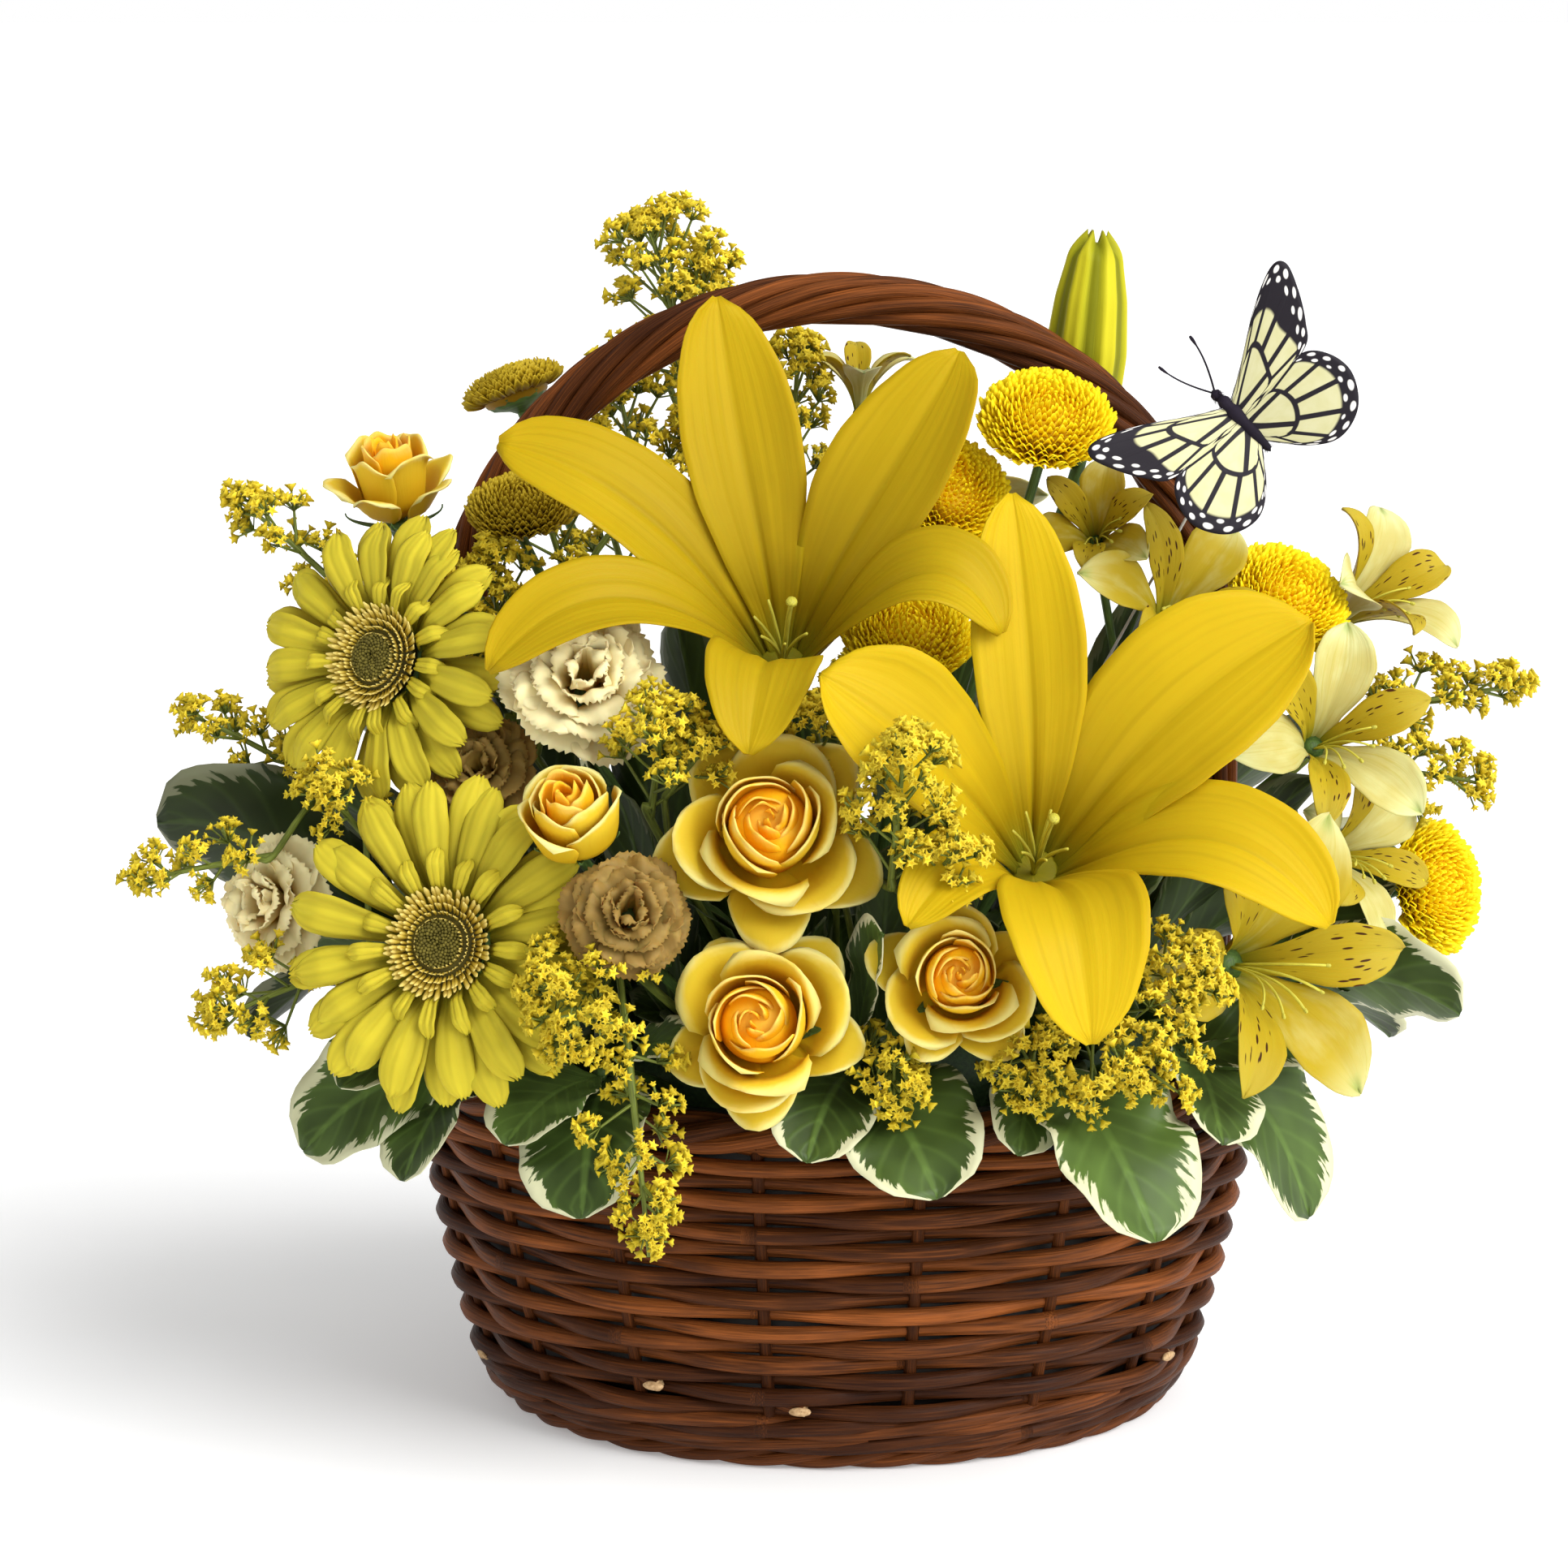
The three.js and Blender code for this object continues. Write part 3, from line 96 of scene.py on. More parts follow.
# Heads: the middle, the way the flower faces and its radius.
GERBERAS = {
    "gerbera_upper": ((-140, -64, 248), (-0.5, -0.82, 0.28), 46),
    "gerbera_lower": ((-118, -114, 170), (-0.22, -0.93, 0.27), 50),
}
GERBERA_EYE = 14.5  # radius
GERBERA_DEPTH = 13  # from the middle of a gerbera back to its stem
MUM_DEPTH, CARNATION_DEPTH = 0.42, 1.05  # the same for these heads, over their radius
ROSES = {
    "rose_top": ((-21, -124, 207), (0.02, -0.9, 0.43), 31, "open"),
    "rose_low": ((-24, -140, 152), (-0.12, -0.92, 0.36), 28, "open"),
    "rose_right": ((34, -142, 166), (0.05, -0.92, 0.38), 24, "open"),
    "rose_bud": ((-79, -126, 212.7), (-0.15, -0.6, 0.78), 14, "bud"),
    "rose_left": ((-140, -14, 300), (-0.1, -0.3, 0.95), 17, "spread"),
}
MUMS = {
    "mum_crown_right": ((64, -38, 318), (0.05, -0.6, 0.8), 20.5),
    "mum_middle": ((35, -38, 296), (0.25, -0.8, 0.55), 18),
    "mum_right": ((141, -24, 261), (0.4, -0.6, 0.7), 20),
    "mum_far_right": ((189, -24, 169), (0.75, -0.62, 0.2), 21),
    "mum_crown_left": ((-98, -30, 290), (-0.05, -0.4, 0.9), 17),
    "mum_behind_handle": ((-104, 34, 322), (-0.35, 0.1, 0.93), 16.5),
    "mum_under_lily": ((22, -46, 252), (0, -0.5, 0.86), 20),
    "mum_back": ((-38, 92, 250), (-0.2, 0.75, 0.63), 20),
}
CARNATIONS = {
    "carnation_upper": ((-76, -86, 243.6), (0.1, -0.82, 0.55), 25),
    "carnation_left": ((-172, -64, 172), (-0.62, -0.75, 0.2), 21),
    "carnation_between": ((-108, -76, 215), (-0.2, -0.8, 0.5), 17),
    "carnation_low": ((-62, -130, 181.7), (0.1, -0.9, 0.4), 19),
    "carnation_back": ((-100, 70, 215), (-0.6, 0.62, 0.5), 22),
}

# Peruvian lilies: the middle, the way it faces, its size, its turn in degrees and how far it is closed.
ALSTROEMERIAS = {
    "alstroemeria_front": [((130, -94, 160), (0.5, -0.8, 0.2), 1.35, 30, 0)],
    "alstroemeria_right": [
        ((152, -52, 223), (0.25, -0.86, 0.42), 1.0, 40, 0),
        ((162, -50, 186), (0.7, -0.66, 0.25), 0.85, 0, 0),
    ],
    "alstroemeria_far": [((171, 0, 260), (0.62, -0.5, 0.6), 1.0, 25, 0.3)],
    "alstroemeria_middle": [
        ((106, -42, 263.4), (0.3, -0.72, 0.6), 0.95, 10, 0),
        ((80, -28, 284), (-0.1, -0.8, 0.5), 0.7, 50, 0.3),
    ],
    "alstroemeria_back": [
        ((8, 38, 326), (0, -0.1, 1), 0.62, 0, 0.2),
        ((42, 78, 278), (0.25, 0.62, 0.74), 0.9, 20, 0),
    ],
}

# Goldenrod: each plume's foot, tip and spread.
GOLDENROD = {
    "goldenrod_top": [((-46, 32, 320), (-60, 36, 374), 24), ((-52, 34, 326), (-40, 30, 360), 16)],
    "goldenrod_under_handle": [
        ((-62, 24, 286), (-72, 28, 330), 17), ((-14, 30, 292), (-12, 34, 336), 16), ((-86, 10, 262), (-98, 6, 300), 15),
        ((-40, 22, 270), (-44, 20, 312), 16),
    ],
    "goldenrod_left_upper": [((-152, -12, 258), (-189, -12, 291), 12)],
    "goldenrod_inner": [((-100, -42, 226), (-108, -46, 280), 18), ((-92, -50, 220), (-84, -56, 262), 14)],
    "goldenrod_left": [((-166, -30, 206), (-203, -34, 226), 11), ((-176, -74, 188), (-214, -76, 180), 9)],
    "goldenrod_left_low": [((-158, -78, 152), (-189, -94, 141), 14), ((-146, -70, 196), (-156, -90, 212), 13)],
    "goldenrod_hanging": [
        ((-70, -118, 166), (-80, -144, 146), 19), ((-62, -134, 140), (-56, -148, 84), 13),
        ((-76, -122, 150), (-88, -140, 164), 15),
    ],
    "goldenrod_centre": [((-56, -98, 208), (-52, -116, 236), 17), ((-50, -100, 214), (-38, -112, 230), 12)],
    "goldenrod_middle": [
        ((-2, -88, 206), (-8, -104, 236), 12), ((15, -124, 192), (18, -146, 234), 17),
        ((12, -118, 134), (17, -142, 132), 16), ((24, -120, 186), (34, -142, 204), 13),
    ],
    "goldenrod_front": [
        ((70, -110, 146), (88, -142, 138), 27), ((58, -112, 140), (54, -142, 132), 18),
        ((88, -106, 152), (104, -134, 164), 18),
    ],
    "goldenrod_right": [((168, -12, 222), (219, -10, 231), 12), ((164, -30, 208), (202, -36, 204), 12)],
    "goldenrod_back": [((10, 96, 214), (12, 128, 262), 18), ((-70, 66, 258), (-84, 84, 300), 16)],
}

# Pittosporum: the crown of each sprig, and each leaf's tip, half-width, bend and roll in degrees.
SPRIGS = {
    "leaves_left_low": ((-112, -84, 127), [
        ((-164, -80, 98), 16, 0, -25), ((-131, -108, 96), 13, 0), ((-150, -104, 124), 11, 0, -15),
    ]),
    "leaves_front_left": ((-72, -104, 128), [
        ((-99, -126, 112), 13, 0), ((-76, -142, 94), 17, 0), ((-46, -130, 142), 8, 0),
    ]),
    "leaves_front": ((4, -104, 130), [
        ((-10, -146, 112), 13, 0), ((28, -146, 101), 18, 0), ((12, -138, 178), 9, 0),
    ]),
    "leaves_front_right": ((62, -100, 129), [
        ((92, -146, 88), 20, 0), ((58, -138, 172), 8, 0), ((52, -138, 112), 10, 0),
    ]),
    "leaves_right": ((106, -76, 128), [
        ((114, -118, 110), 14, 0), ((164, -86, 104), 15, 32, 30), ((148, -66, 126), 11, 0, 15),
    ]),
    "leaves_far_right": ((132, -30, 138), [
        ((193, -58, 136), 17, 0, -45), ((178, -12, 118), 15, 0, -30), ((172, 28, 150), 14, -32),
    ]),
    "leaves_left": ((-132, -26, 150), [
        ((-212, -40, 193), 20, 0, 62), ((-186, -30, 122), 15, 0, 35), ((-190, 12, 158), 15, 0, 20),
    ]),
    "leaves_back_left": ((-66, 88, 134), [
        ((-128, 96, 108), 17, 0), ((-72, 146, 104), 18, 5), ((-96, 108, 178), 16, 0),
        ((-14, 140, 124), 18, 0), ((-40, 104, 196), 18, 0),
    ]),
    "leaves_back_right": ((68, 87, 134), [
        ((122, 98, 106), 17, 0), ((60, 146, 106), 18, 5), ((112, 92, 184), 17, 0),
        ((28, 124, 188), 16, 0), ((14, 142, 122), 17, 0),
    ]),
}

# How far a stem's bend moves sideways and upwards to clear its neighbours, and how far a side shoot rises.
SWAYS = {
    "rose_left": (-7, 0), "alstroemeria_far": (-7, 7), "goldenrod_front": (-7, 0), "goldenrod_right": (7, 0),
    "butterfly_wire": (-7, 0),
}
RISES = {"goldenrod_under_handle": 18, "goldenrod_left": 8, "goldenrod_back": 8}

BUTTERFLY = {
    "at": (122, -52, 320), "ahead": (-0.7, 0, 0.71), "up": (0.15, -0.96, -0.05),
    "length": 26, "radius": 2.2, "dihedral": 14,
}
FORE_WING = [
    (-1.2, -2), (13.5, 0), (29, 2.5), (34.5, 8), (39.5, 16.5), (42.5, 25), (38.5, 27.5), (26.5, 22), (11.5, 12),
    (-1.2, 4.5),
]
HIND_WING = [(-1.2, -8), (9, -20), (18, -25), (28, -22), (34, -13), (33, -4), (27, 2), (14, 1.5), (-1.2, 1)]

FLOOR_REACH = 200  # metres from the middle of the studio's floor to its sides
CAMERA = {"at": (-16.6, -1378.7, 441.1), "target": (-16.6, 0, 198), "lens": 100.3, "sensor": 36}

# ---------------------------------------------------------------- settings that a user would change


class BasketSettings(bpy.types.PropertyGroup):
    rod: FloatProperty(name="Rod", description="Radius of a woven rod", default=2.9 * MM, unit="LENGTH", precision=5)
    swing: FloatProperty(
        name="Swing", description="How far a rod swings out and in at the stakes", default=3.0 * MM, unit="LENGTH",
        precision=5,
    )
    dark: FloatVectorProperty(
        name="Dark willow", description="Stained willow in its darkest streaks", subtype="COLOR", size=3,
        default=(0.02, 0.0042, 0.0007),
    )
    light: FloatVectorProperty(
        name="Light willow", description="Stained willow where it is worn", subtype="COLOR", size=3,
        default=(0.265, 0.075, 0.015),
    )


class FlowerSettings(bpy.types.PropertyGroup):
    lily: FloatVectorProperty(
        name="Lily", description="Lily tepals in the light", subtype="COLOR", size=3, default=(0.56, 0.38, 0.006),
    )
    gerbera: FloatVectorProperty(
        name="Gerbera", description="Gerbera rays", subtype="COLOR", size=3, default=(0.56, 0.46, 0.03),
    )
    rose: FloatVectorProperty(
        name="Rose", description="The middle of a rose", subtype="COLOR", size=3, default=(0.85, 0.34, 0.006),
    )
    mum: FloatVectorProperty(
        name="Button mum", description="Florets of the button mums", subtype="COLOR", size=3,
        default=(0.98, 0.73, 0.008),
    )
    carnation: FloatVectorProperty(
        name="Carnation", description="Carnation petals", subtype="COLOR", size=3, default=(0.86, 0.73, 0.4),
    )
    plume_florets: IntProperty(name="Plume florets", description="Flowers in one tuft of goldenrod", default=20)


class FoliageSettings(bpy.types.PropertyGroup):
    green: FloatVectorProperty(
        name="Leaf", description="The green of a leaf", subtype="COLOR", size=3, default=(0.062, 0.105, 0.02),
    )
    edge: FloatVectorProperty(
        name="Leaf edge", description="The cream margin of a leaf", subtype="COLOR", size=3,
        default=(0.64, 0.64, 0.4),
    )
    fillers: IntProperty(name="Filler leaves", description="Leaves tucked in over the foam", default=110)


class StageSettings(bpy.types.PropertyGroup):
    key: FloatProperty(name="Key light", description="Strength of the main soft light", default=2.7)
    sky: FloatProperty(name="Sky", description="Strength of the surroundings overhead", default=0.42)


# ---------------------------------------------------------------- numbers and curves
def point(*p):
    return np.array(p[0] if len(p) == 1 else p, float)


def unit(v):
    v = np.asarray(v, float)
    return v / np.maximum(np.linalg.norm(v, axis=-1, keepdims=True), 1e-12)


def lerp(a, b, t):
    return a + (b - a) * t


def shares(count):
    """Even steps from 0 to 1."""
    return np.linspace(0, 1, count)


def smooth(pairs, x, round_off=12):
    """Reads a curve given as (x, y) pairs, with its corners rounded off."""
    xs, ys = np.array(pairs, float).T
    fine = np.linspace(xs[0], xs[-1], 241)
    line = np.interp(fine, xs, ys)
    before = 2 * line[0] - line[round_off:0:-1]
    after = 2 * line[-1] - line[-2:-round_off - 2:-1]
    bell = np.hanning(2 * round_off + 1)
    rounded = np.convolve(np.concatenate([before, line, after]), bell / bell.sum(), "valid")
    return np.interp(x, fine, rounded)


def bezier(a, b, c, d, count):
    s = shares(count)[:, None]
    return a * (1 - s) ** 3 + 3 * b * s * (1 - s) ** 2 + 3 * c * s * s * (1 - s) + d * s ** 3


def through(points, count):
    """A smooth path through a few points, as many points apart as asked for."""
    given = np.asarray(points, float)
    ahead = np.gradient(given, axis=0)
    steps = np.linspace(0, len(given) - 1, count)
    i = np.minimum(steps.astype(int), len(given) - 2)
    t = (steps - i)[:, None]
    start, end = given[i], given[i + 1]
    leave, arrive = ahead[i], ahead[i + 1]
    return (
        (2 * t ** 3 - 3 * t ** 2 + 1) * start + (t ** 3 - 2 * t ** 2 + t) * leave
        + (3 * t ** 2 - 2 * t ** 3) * end + (t ** 3 - t ** 2) * arrive
    )


def facing(face):
    """The three directions of a head: right, up and out along the way it faces."""
    axis = unit(face)
    right = np.cross((0, 0, 1), axis)
    if np.linalg.norm(right) < 0.2:
        right = point(1, 0, 0) - axis[0] * axis
    right = unit(right)
    return np.stack([right, np.cross(axis, right), axis])


def turned_about(p, centre, axis, degrees):
    """A point swung about an axis through a centre."""
    v, a = p - centre, math.radians(degrees)
    return centre + v * math.cos(a) + np.cross(axis, v) * math.sin(a) + axis * (axis @ v) * (1 - math.cos(a))


def slow_noise(rng, count, knots):
    """A smooth random line between -1 and 1."""
    return smooth([(x, y) for x, y in enumerate(rng.uniform(-1, 1, knots + 1))], np.linspace(0, knots, count), 2)


# ---------------------------------------------------------------- skins
class Skin:
    """Gathers the rings of points of one piece. Each point carries three marks for its finish: across, along, tone."""

    def __init__(self):
        self.points, self.marks, self.faces, self.sizes = [], [], [], []
        self.paints, self.maps, self.count, self.patches = [], [], 0, 0

    def add(self, rings, marks=None, tone=0.5, paint=0, folded=False):
        """Closed rings one after another, (rings, points, 3), or as many copies of such rings with one tone each.

        A folded ring is a strip with a front and a back, whose ends are closed edge to edge."""
        rings = np.asarray(rings, float)
        if rings.ndim == 3:
            rings = rings[None]
        copies, n, m, _ = rings.shape
        if marks is None:
            marks = np.zeros((n, m, 3))
            marks[..., 0] = 0.5 + 0.5 * np.cos(np.arange(m) / m * TURN)
            marks[..., 1] = shares(n)[:, None]
        marks = np.broadcast_to(marks, rings.shape).copy()
        marks[..., 2] = np.reshape(tone, (-1,) + (1,) * (np.ndim(tone) and 2))
        i, j = np.meshgrid(np.arange(n - 1), np.arange(m), indexing="ij")
        after = (j + 1) % m
        quads = np.stack([i * m + j, i * m + after, (i + 1) * m + after, (i + 1) * m + j], -1).reshape(-1, 4)
        flat = np.stack([j, i, j + 1, i, j + 1, i + 1, j, i + 1], -1).reshape(-1, 4, 2) / (m, n - 1)
        first = rings[0].reshape(-1, 3)
        a, b, c, d = (first[quads[:, k]] - first.mean(0) for k in range(4))
        volume = np.einsum("ij,ij->", a, np.cross(b, c)) + np.einsum("ij,ij->", a, np.cross(c, d))
        if folded:
            k = np.arange(m // 2 - 1)
            end = np.stack([k, k + 1, m - 2 - k, m - 1 - k], -1)
        else:
            end = np.arange(m)[None]
        caps = np.concatenate([end[:, ::-1], (n - 1) * m + end])
        cap_map = np.zeros((*caps.shape, 2))
        cap_map[len(end):, :, 1] = 1
        if volume < 0:
            quads, flat, caps = quads[:, ::-1], flat[:, ::-1], caps[:, ::-1]
        starts = self.count + np.arange(copies) * n * m
        for ring_faces, ring_map in ((quads, flat), (caps, cap_map)):
            self.faces.append((ring_faces[None] + starts[:, None, None]).ravel())
            self.sizes.append(np.full(copies * len(ring_faces), ring_faces.shape[1]))
            self.paints.append(np.full(copies * len(ring_faces), paint))
            patch = np.repeat(self.patches + np.arange(copies), ring_faces.size)
            self.maps.append(np.column_stack([np.tile(ring_map.reshape(-1, 2), (copies, 1)), patch]))
        self.points.append(rings.reshape(-1, 3))
        self.marks.append(marks.reshape(-1, 3))
        self.count += copies * n * m
        self.patches += copies

    def mesh(self, name):
        """The piece's mesh in metres, with its marks and a map that gives each patch a cell of its own."""
        made = bpy.data.meshes.new(name)
        corners, sizes = np.concatenate(self.faces), np.concatenate(self.sizes)
        made.vertices.add(self.count)
        made.vertices.foreach_set("co", (np.concatenate(self.points) * MM).astype(np.float32).ravel())
        made.loops.add(len(corners))
        made.loops.foreach_set("vertex_index", corners.astype(np.int32))
        made.polygons.add(len(sizes))
        made.polygons.foreach_set("loop_start", np.concatenate([[0], np.cumsum(sizes)[:-1]]).astype(np.int32))
        made.polygons.foreach_set("material_index", np.concatenate(self.paints).astype(np.int32))
        made.polygons.foreach_set("use_smooth", np.ones(len(sizes), bool))
        made.update(calc_edges=True)
        attribute = made.attributes.new("marks", "FLOAT_VECTOR", "POINT")
        attribute.data.foreach_set("vector", np.concatenate(self.marks).astype(np.float32).ravel())
        flat = np.concatenate(self.maps)
        cells = math.ceil(math.sqrt(self.patches))
        cell = np.stack([flat[:, 2] % cells, flat[:, 2] // cells], -1)
        layer = made.uv_layers.new(name="OFBake")
        layer.uv.foreach_set("vector", ((cell + 0.04 + 0.92 * flat[:, :2]) / cells).astype(np.float32).ravel())
        made.validate()
        return made


def place(skin, name, slot, finishes, *nodes):
    """Makes the piece of a skin, rides it on the root body and lets it stand for its nodes."""
    piece = bpy.data.objects.new(name, skin.mesh(name))
    bpy.context.scene.collection.objects.link(piece)
    for finish in finishes:
        piece.data.materials.append(finish)
    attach(piece, "root")
    if nodes:
        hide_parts(*nodes)
    return piece


def shell(surface, thick):
    """Rings round both faces of a surface given as rows of points, with their marks across and along."""
    normal = unit(np.cross(np.gradient(surface, axis=0), np.gradient(surface, axis=1)))
    rows, columns, _ = surface.shape
    t = np.linspace(-1, 1, columns)
    offset = normal * (thick / 2 * (1 - 0.6 * t ** 4))[None, :, None]
    rings = np.concatenate([surface + offset, (surface - offset)[:, ::-1]], axis=1)
    marks = np.zeros(rings.shape)
    marks[..., 0] = np.concatenate([t, t[::-1]]) * 0.5 + 0.5
    marks[..., 1] = shares(rows)[:, None]
    return rings, marks


def add_sheet(skin, surface, thick, tone=0.5, paint=0):
    """A petal or leaf of a skin, from its surface."""
    rings, marks = shell(surface, thick)
    skin.add(rings, marks, tone, paint, folded=True)


def sheet(spine, side, half, columns=7, cup=0.0, lift=None, stretch=None):
    """The surface of a petal or leaf along a spine. lift and stretch give what is added to it at (s, t)."""
    spine = np.asarray(spine, float)
    s = shares(len(spine))[:, None]
    t = np.linspace(-1, 1, columns)[None, :]
    ahead = unit(np.gradient(spine, axis=0))
    side = unit(side - (side * ahead).sum(-1, keepdims=True) * ahead)
    normal = np.cross(ahead, side)
    half = np.broadcast_to(half, len(spine))[:, None]
    high = cup * half * t * t + (lift(s, t) if lift else 0)
    surface = spine[:, None] + side[:, None] * (half * t)[..., None] + normal[:, None] * high[..., None]
    if stretch:
        surface = surface + ahead[:, None] * stretch(s, t)[..., None]
    return surface


def rod_rings(path, radius, sides=8, side=None):
    """Rings round a path. The first side is carried along the path unless one is given for each point."""
    path = np.asarray(path, float)
    ahead = unit(np.gradient(path, axis=0))
    if side is None:
        side = np.empty_like(path)
        last = point(1, 0, 0) if abs(ahead[0, 0]) < 0.8 else point(0, 1, 0)
        for i, a in enumerate(ahead):
            last = unit(last - a * (a @ last))
            side[i] = last
    side = unit(side - (side * ahead).sum(-1, keepdims=True) * ahead)
    across = np.cross(ahead, side)
    a = np.arange(sides) / sides * TURN
    circle = side[:, None] * np.cos(a)[:, None] + across[:, None] * np.sin(a)[:, None]
    return path[:, None] + circle * np.broadcast_to(radius, len(path))[:, None, None]


def rod(skin, path, radius, sides=8, tone=0.5, paint=0, side=None):
    """A round rod. Its mark along is its length in decimetres, so that its grain has one scale."""
    rings = rod_rings(path, radius, sides, side)
    length = np.concatenate([[0], np.cumsum(np.linalg.norm(np.diff(path, axis=0), axis=1))])
    marks = np.zeros(rings.shape)
    marks[..., 0] = 0.5 + 0.5 * np.cos(np.arange(sides) / sides * TURN)
    marks[..., 1] = (length / 100)[:, None]
    skin.add(rings, marks, 0.5, paint)
    skin.marks[-1][:, 2] = np.repeat(np.broadcast_to(tone, len(path)), sides)


def lathe(skin, profile, at, frame_rows, sides=48, ribs=None, tone=0.5, paint=0, oval=1.0):
    """A turned shape from (radius, height) pairs, along the last of three directions. ribs scales each side."""
    a = np.arange(sides) / sides * TURN
    swell = 1.0 if ribs is None else ribs(a)
    rings = []
    for r, h in profile:
        r = max(r, 0.02)
        local = np.stack([r * swell * np.cos(a), r * swell * np.sin(a) * oval, np.full(sides, float(h))], -1)
        rings.append(point(at) + local @ frame_rows)
    skin.add(rings, None, tone, paint)


def directions(ahead, hint):
    """Frames for copies whose second direction is ahead and whose third leans towards a hint."""
    ahead = unit(ahead)
    across = unit(np.cross(ahead, hint))
    return np.stack([across, ahead, np.cross(across, ahead)], axis=1)


def scatter(skin, template, origins, frames, sizes, tones, paint=0, folded=False):
    """Copies of one small closed shape, each with its own place, frame, size and tone."""
    rings, marks = template
    turned = np.einsum("nmk,ckj->cnmj", rings, frames) * np.reshape(sizes, (-1, 1, 1, 1))
    tones = np.broadcast_to(tones, len(frames))
    skin.add(turned + np.asarray(origins)[:, None, None], marks, tones, paint, folded)


# ---------------------------------------------------------------- stems
def oval_radius(p):
    return math.hypot(p[0], p[1] / OVAL)


def stem_path(foot, face, radius, sway=(0, 0)):
    """From the foot of a head down to the foam: the same way that the solid stem takes."""
    end = point(foot)
    neck = end - unit(face) * 3 * radius if face is not None else end
    across = unit(np.cross(neck - FOCUS, (0, 0, 1)))
    over = unit(np.cross(across, neck - FOCUS))
    ratio = 128 / max(oval_radius(neck), 1)
    knee = lerp(FOCUS, neck, min(0.62, ratio * 0.85))
    if ratio < 1:
        knee = lerp(FOCUS, neck, ratio)
        knee[2] = max(knee[2], RIM_CLEAR)
    knee = knee + across * sway[0] + over * sway[1]
    low = lerp(FOCUS, knee, 0.35)
    return [end, neck, knee, low] if face is not None else [neck, knee, low]


def stem(skin, name, foot, face, radius, paint=0):
    path = stem_path(foot, face, radius, SWAYS.get(name, (0, 0)))
    fine = through(path, 26)
    thick = radius * smooth([(0, 1.25), (0.1, 0.9), (0.5, 0.88), (1, 1)], shares(len(fine)))
    rod(skin, fine, thick, 8, 0.5, paint)
    return path


def shoot(skin, name, path, foot, face, radius, paint=0):
    """A side shoot that forks off a stem a quarter of the way from its neck to its knee."""
    start = lerp(path[-3], path[-2], 0.25)
    upper = point(foot) - unit(face) * 3 * radius
    middle = lerp(start, upper, 0.5) + point(0, 0, RISES.get(name, 0))
    rod(skin, through([point(foot), upper, middle, start], 16), radius * 0.8, 6, 0.5, paint)


# ---------------------------------------------------------------- finishes
def maths_pair(operation):
    """A Math node as one of Python's operators, and as its reflected form."""
    return (
        lambda wire, other: wire.maths(operation, wire, other),
        lambda wire, other: wire.maths(operation, other, wire),
    )


class Wire:
    """A socket of a finish. Python's operators on it add Math nodes."""

    __add__, __radd__ = maths_pair("ADD")
    __sub__, __rsub__ = maths_pair("SUBTRACT")
    __mul__, __rmul__ = maths_pair("MULTIPLY")
    __pow__, __rpow__ = maths_pair("POWER")

    def __init__(self, finish, socket):
        self.finish, self.socket = finish, socket

    def maths(self, operation, *values):
        return self.finish.node("ShaderNodeMath", {"operation": operation}, dict(enumerate(values)))

    def size(self):
        return self.maths("ABSOLUTE", self)

    def wave(self):
        return self.maths("SINE", self)

    def part(self):
        return self.maths("FRACT", self)

    def above(self, low, high):
        """0 up to low, 1 from high, and a soft step between them."""
        steps = {"Value": self, 1: low, 2: high}
        return self.finish.node("ShaderNodeMapRange", {"interpolation_type": "SMOOTHSTEP"}, steps)

    def within(self):
        return self.finish.node("ShaderNodeClamp", {}, {"Value": self})


class Shading:
    """A node tree built from expressions."""

    def __init__(self, tree):
        self.tree = tree

    def node(self, kind, settings, sockets, output=0):
        """Any node: its type, its settings and the values or links of its sockets."""
        made = self.tree.nodes.new(kind)
        for key, value in settings.items():
            if key == "stops":
                self.set_stops(made.color_ramp, value)
            else:
                setattr(made, key, value)
        for key, value in sockets.items():
            if isinstance(value, Wire):
                self.tree.links.new(value.socket, made.inputs[key])
            else:
                made.inputs[key].default_value = value
        return Wire(self, made.outputs[output])

    @staticmethod
    def set_stops(ramp, stops):
        while len(ramp.elements) < len(stops):
            ramp.elements.new(1)
        for element, (position, shade) in zip(ramp.elements, stops):
            element.position, element.color = position, opaque(shade)

    def ramp(self, value, *stops):
        return self.node("ShaderNodeValToRGB", {"stops": stops}, {"Fac": value})

    def blend(self, low, high, share):
        """A colour between two colours."""
        ends = [c if isinstance(c, Wire) else opaque(c) for c in (low, high)]
        return self.node("ShaderNodeMix", {"data_type": "RGBA"}, {0: share, 6: ends[0], 7: ends[1]}, 2)

    def layers(self, colour, *layers):
        """A colour with others laid over it one after another, each where its mask is."""
        for over, mask in layers:
            colour = self.blend(colour, over, mask)
        return colour

    def vector(self, x, y, z):
        return self.node("ShaderNodeCombineXYZ", {}, {0: x, 1: y, 2: z})

    def height(self, place):
        return self.node("ShaderNodeSeparateXYZ", {}, {0: place}, 2)

    def noise(self, vector, scale=1.0, detail=2.0):
        return self.node("ShaderNodeTexNoise", {}, {"Vector": vector, "Scale": scale, "Detail": detail})


